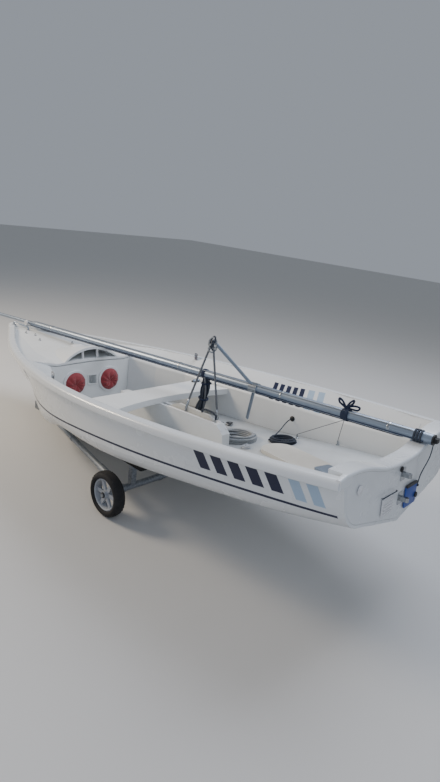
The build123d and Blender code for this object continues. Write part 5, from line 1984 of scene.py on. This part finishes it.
@dataclass
class Trolley:
    """Clamps, bolts and pad ribs of the launching trolley."""

    axle_clamps: tuple[float, ...] = (0.20, 0.53)
    axle_radius: float = 0.0245
    frame_clamps: tuple[float, ...] = (0.50, 0.95)
    frame_radius: float = 0.0212
    clamp_section: Profile = (
        (-0.016, -0.0005), (-0.016, 0.002), (-0.012, 0.0035), (0.012, 0.0035), (0.016, 0.002),
        (0.016, -0.0005))
    bolt_radius: float = 0.009
    ribs: int = 12
    rib_margin: float = 0.02
    rib_low: float = 0.006
    rib_high: float = 0.022
    rib_section: Profile = ((-0.003, -0.0005), (-0.0015, 0.002), (0.0015, 0.002), (0.003, -0.0005))

    def clamp(self, name: str, centre: Vector, axis: Vector, radius: float) -> None:
        """Builds a pressed clamp band round a tube, with its bolt on top.

        Args:
            name: The pieces' name.
            centre: Its middle, on the tube's axis.
            axis: The tube's direction.
            radius: The tube's radius.
        """
        axis = axis.normalized()
        first = axis.cross(STRAIGHT_UP).normalized()
        second = axis.cross(first)
        rings = []
        for a in turns(32):
            toward = first * math.cos(a) + second * math.sin(a)
            rings.append([centre + axis * x + toward * (radius + out) for x, out in self.clamp_section])
        Piece(f"{name}_band").ring_band(rings, loop=True).dress(Finishes.zinc)
        out = -second if second.z < 0 else second
        foot = centre + out * (radius + 0.001)
        bolt(f"{name}_bolt", foot, foot + out, self.bolt_radius).dress(Finishes.zinc)

    def clamps(self, side: Side) -> None:
        """Puts clamps on one half of the axle and on one tube of the frame.

        Args:
            side: Which side of the trolley.
        """
        low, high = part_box("axle")
        middle = (low + high) / 2
        for k, y in enumerate(self.axle_clamps):
            place = Vector((middle.x, side.value * y, middle.z))
            self.clamp(f"axle_clamp_{side.word}_{k + 1}", place, TO_STARBOARD, self.axle_radius)
        points = [v.co for v in frame["nodes"][f"frame_tube_{side.word}"].data.vertices]
        middle_x = sum(p.x for p in points) / len(points)
        halves = ([p for p in points if p.x < middle_x], [p for p in points if p.x >= middle_x])
        fore, aft = (sum(half, Vector()) / len(half) for half in halves)
        for k, share in enumerate(self.frame_clamps):
            self.clamp(f"frame_clamp_{side.word}_{k + 1}", fore.lerp(aft, share), aft - fore,
                       self.frame_radius)

    def pad_ribs(self, side: Side) -> None:
        """Builds the moulded ribs along the outer face of one bilge pad.

        Args:
            side: Which side of the trolley.
        """
        points = [v.co for v in frame["nodes"]["bilge_pad"].data.vertices if v.co.y * side.value > 0]
        fore, aft = min(p.x for p in points), max(p.x for p in points)
        outer = side.value * max(abs(p.y) for p in points)
        bottom = min(p.z for p in points)
        rib = Piece(f"pad_ribs_{side.word}").ring_band([
            [Vector((fore + self.rib_margin + along, outer + side.value * out, bottom + height))
             for along, out in self.rib_section] for height in (self.rib_low, self.rib_high)])
        pitch = (aft - fore - 2 * self.rib_margin) / (self.ribs - 1)
        Repeater(self.ribs, Vector((pitch, 0, 0))).repeat(rib.dress(Finishes.pad))

    def build(self) -> None:
        """Builds the trolley's small parts."""
        for side in Side:
            self.clamps(side)
            self.pad_ribs(side)


@dataclass
class Wheel:
    """Tread, rim bead, hub bolts and valve of one wheel.

    Each row of tread blocks has a name, the y of its two edges from the wheel's middle, and a lean.
    """

    side: Side
    radius: float = 0.156
    blocks: int = 34
    block_share: float = 0.62
    block_taper: float = 0.9
    block_depth: float = 0.008
    block_sink: float = 0.0002
    tread_rows: tuple[tuple[str, float, float, float], ...] = (
        ("outer", 0.012, 0.029, 1.05), ("inner", -0.029, -0.012, -1.05), ("middle", -0.008, 0.008, 0.0))
    lean_from: float = 0.02
    crown_half: float = 0.012
    crown_run: float = 0.017
    crown_drop: float = 0.0035
    sink: float = 0.001
    bead_out: float = 0.0285
    bead: Profile = ((0, 0.099), (0.002, 0.101), (0.0042, 0.105), (0.002, 0.109), (0, 0.111))
    hub_out: float = 0.0345
    hub_bolts: int = 4
    hub_bolt_circle: float = 0.019
    hub_bolt_radius: float = 0.0042
    valve_at: float = 0.070
    valve_out: float = 0.012
    valve_leg: float = 0.014
    valve_length: float = 0.022
    valve_radius: float = 0.0035

    def __post_init__(self) -> None:
        """Finds the wheel's middle, its body, and the way out from the boat."""
        self.name = self.side.word
        self.body = f"wheel_{self.name}"
        low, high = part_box(f"tyre_{self.name}")
        self.centre = (low + high) / 2
        self.out = TO_STARBOARD * self.side.value

    def tread(self, row: str, start: float, end: float, lean: float) -> None:
        """Builds one row of tread blocks round the tyre.

        Args:
            row: The row's name.
            start: The y of its inner edge from the wheel's middle.
            end: The y of its outer edge.
            lean: Radians that a block turns back for each metre out.
        """
        half = math.pi / self.blocks * self.block_share
        rings = []
        for y in (start, (start + end) / 2, end):
            fall = max(0.0, (abs(y) - self.crown_half) / self.crown_run)
            top = self.radius - self.crown_drop * fall - self.block_sink
            shift = lean * (abs(y) - self.lean_from)
            foot, edge = top - self.block_depth, half * self.block_taper
            ring = []
            for angle, r in ((-half, foot), (-edge, top), (edge, top), (half, foot)):
                a = angle + shift
                ring.append(self.centre + Vector((r * math.sin(a), y, r * math.cos(a))))
            rings.append(ring)
        piece = Piece(f"tread_{row}_{self.name}").ring_band(rings).dress(Finishes.tyre, self.body)
        turn = Vector((0, 2 * math.pi / self.blocks, 0))
        Repeater(self.blocks, turn=turn, centre=self.centre).repeat(piece)

    def rim_bead(self) -> None:
        """Builds the rounded bead where the rim meets the tyre."""
        start = self.centre + self.out * (self.bead_out - self.sink)
        turned(f"rim_bead_{self.name}", start, start + self.out, self.bead, 64).dress(
            Finishes.rim, self.body)

    def bolts(self) -> None:
        """Builds the bolts round the hub."""
        face = self.centre + self.out * (self.hub_out - self.sink)
        for k in range(self.hub_bolts):
            a = math.pi / 4 + 2 * math.pi * k / self.hub_bolts
            place = face + Vector((math.cos(a), 0, math.sin(a))) * self.hub_bolt_circle
            bolt(f"hub_bolt_{self.name}_{k + 1}", place, place + self.out, self.hub_bolt_radius).dress(
                Finishes.zinc, self.body)

    def valve(self) -> None:
        """Builds the bent valve stem."""
        bend = self.centre + Vector((1, 0, 1)) * self.valve_at + self.out * self.valve_out
        path = [bend + Vector((1, 0, 1)) * self.valve_leg, bend, bend + self.out * self.valve_length]
        tube(f"valve_{self.name}", path, self.valve_radius, 10, Vector((1, 0, -1))).dress(
            Finishes.black, self.body)

    def build(self) -> None:
        """Builds the wheel's small parts on its turning body."""
        for row in self.tread_rows:
            self.tread(*row)
        self.rim_bead()
        self.bolts()
        self.valve()


def main() -> None:
    """Builds the studio and every sub-assembly in order, and reports each piece that they add."""
    wheels = [Wheel(side) for side in Side]
    for assembly in (Studio(), Solids(), Cords(), Hull(), TransomMoulding(), Mast(), Bow(), Cockpit(),
                     Bags(), Trolley(), *wheels):
        known = set(bpy.data.objects.keys())
        assembly.build()
        for name in bpy.data.objects.keys():
            if name not in known:
                LOG.info("%s: %s", type(assembly).__name__, name)


if __name__ == "__main__":
    main()
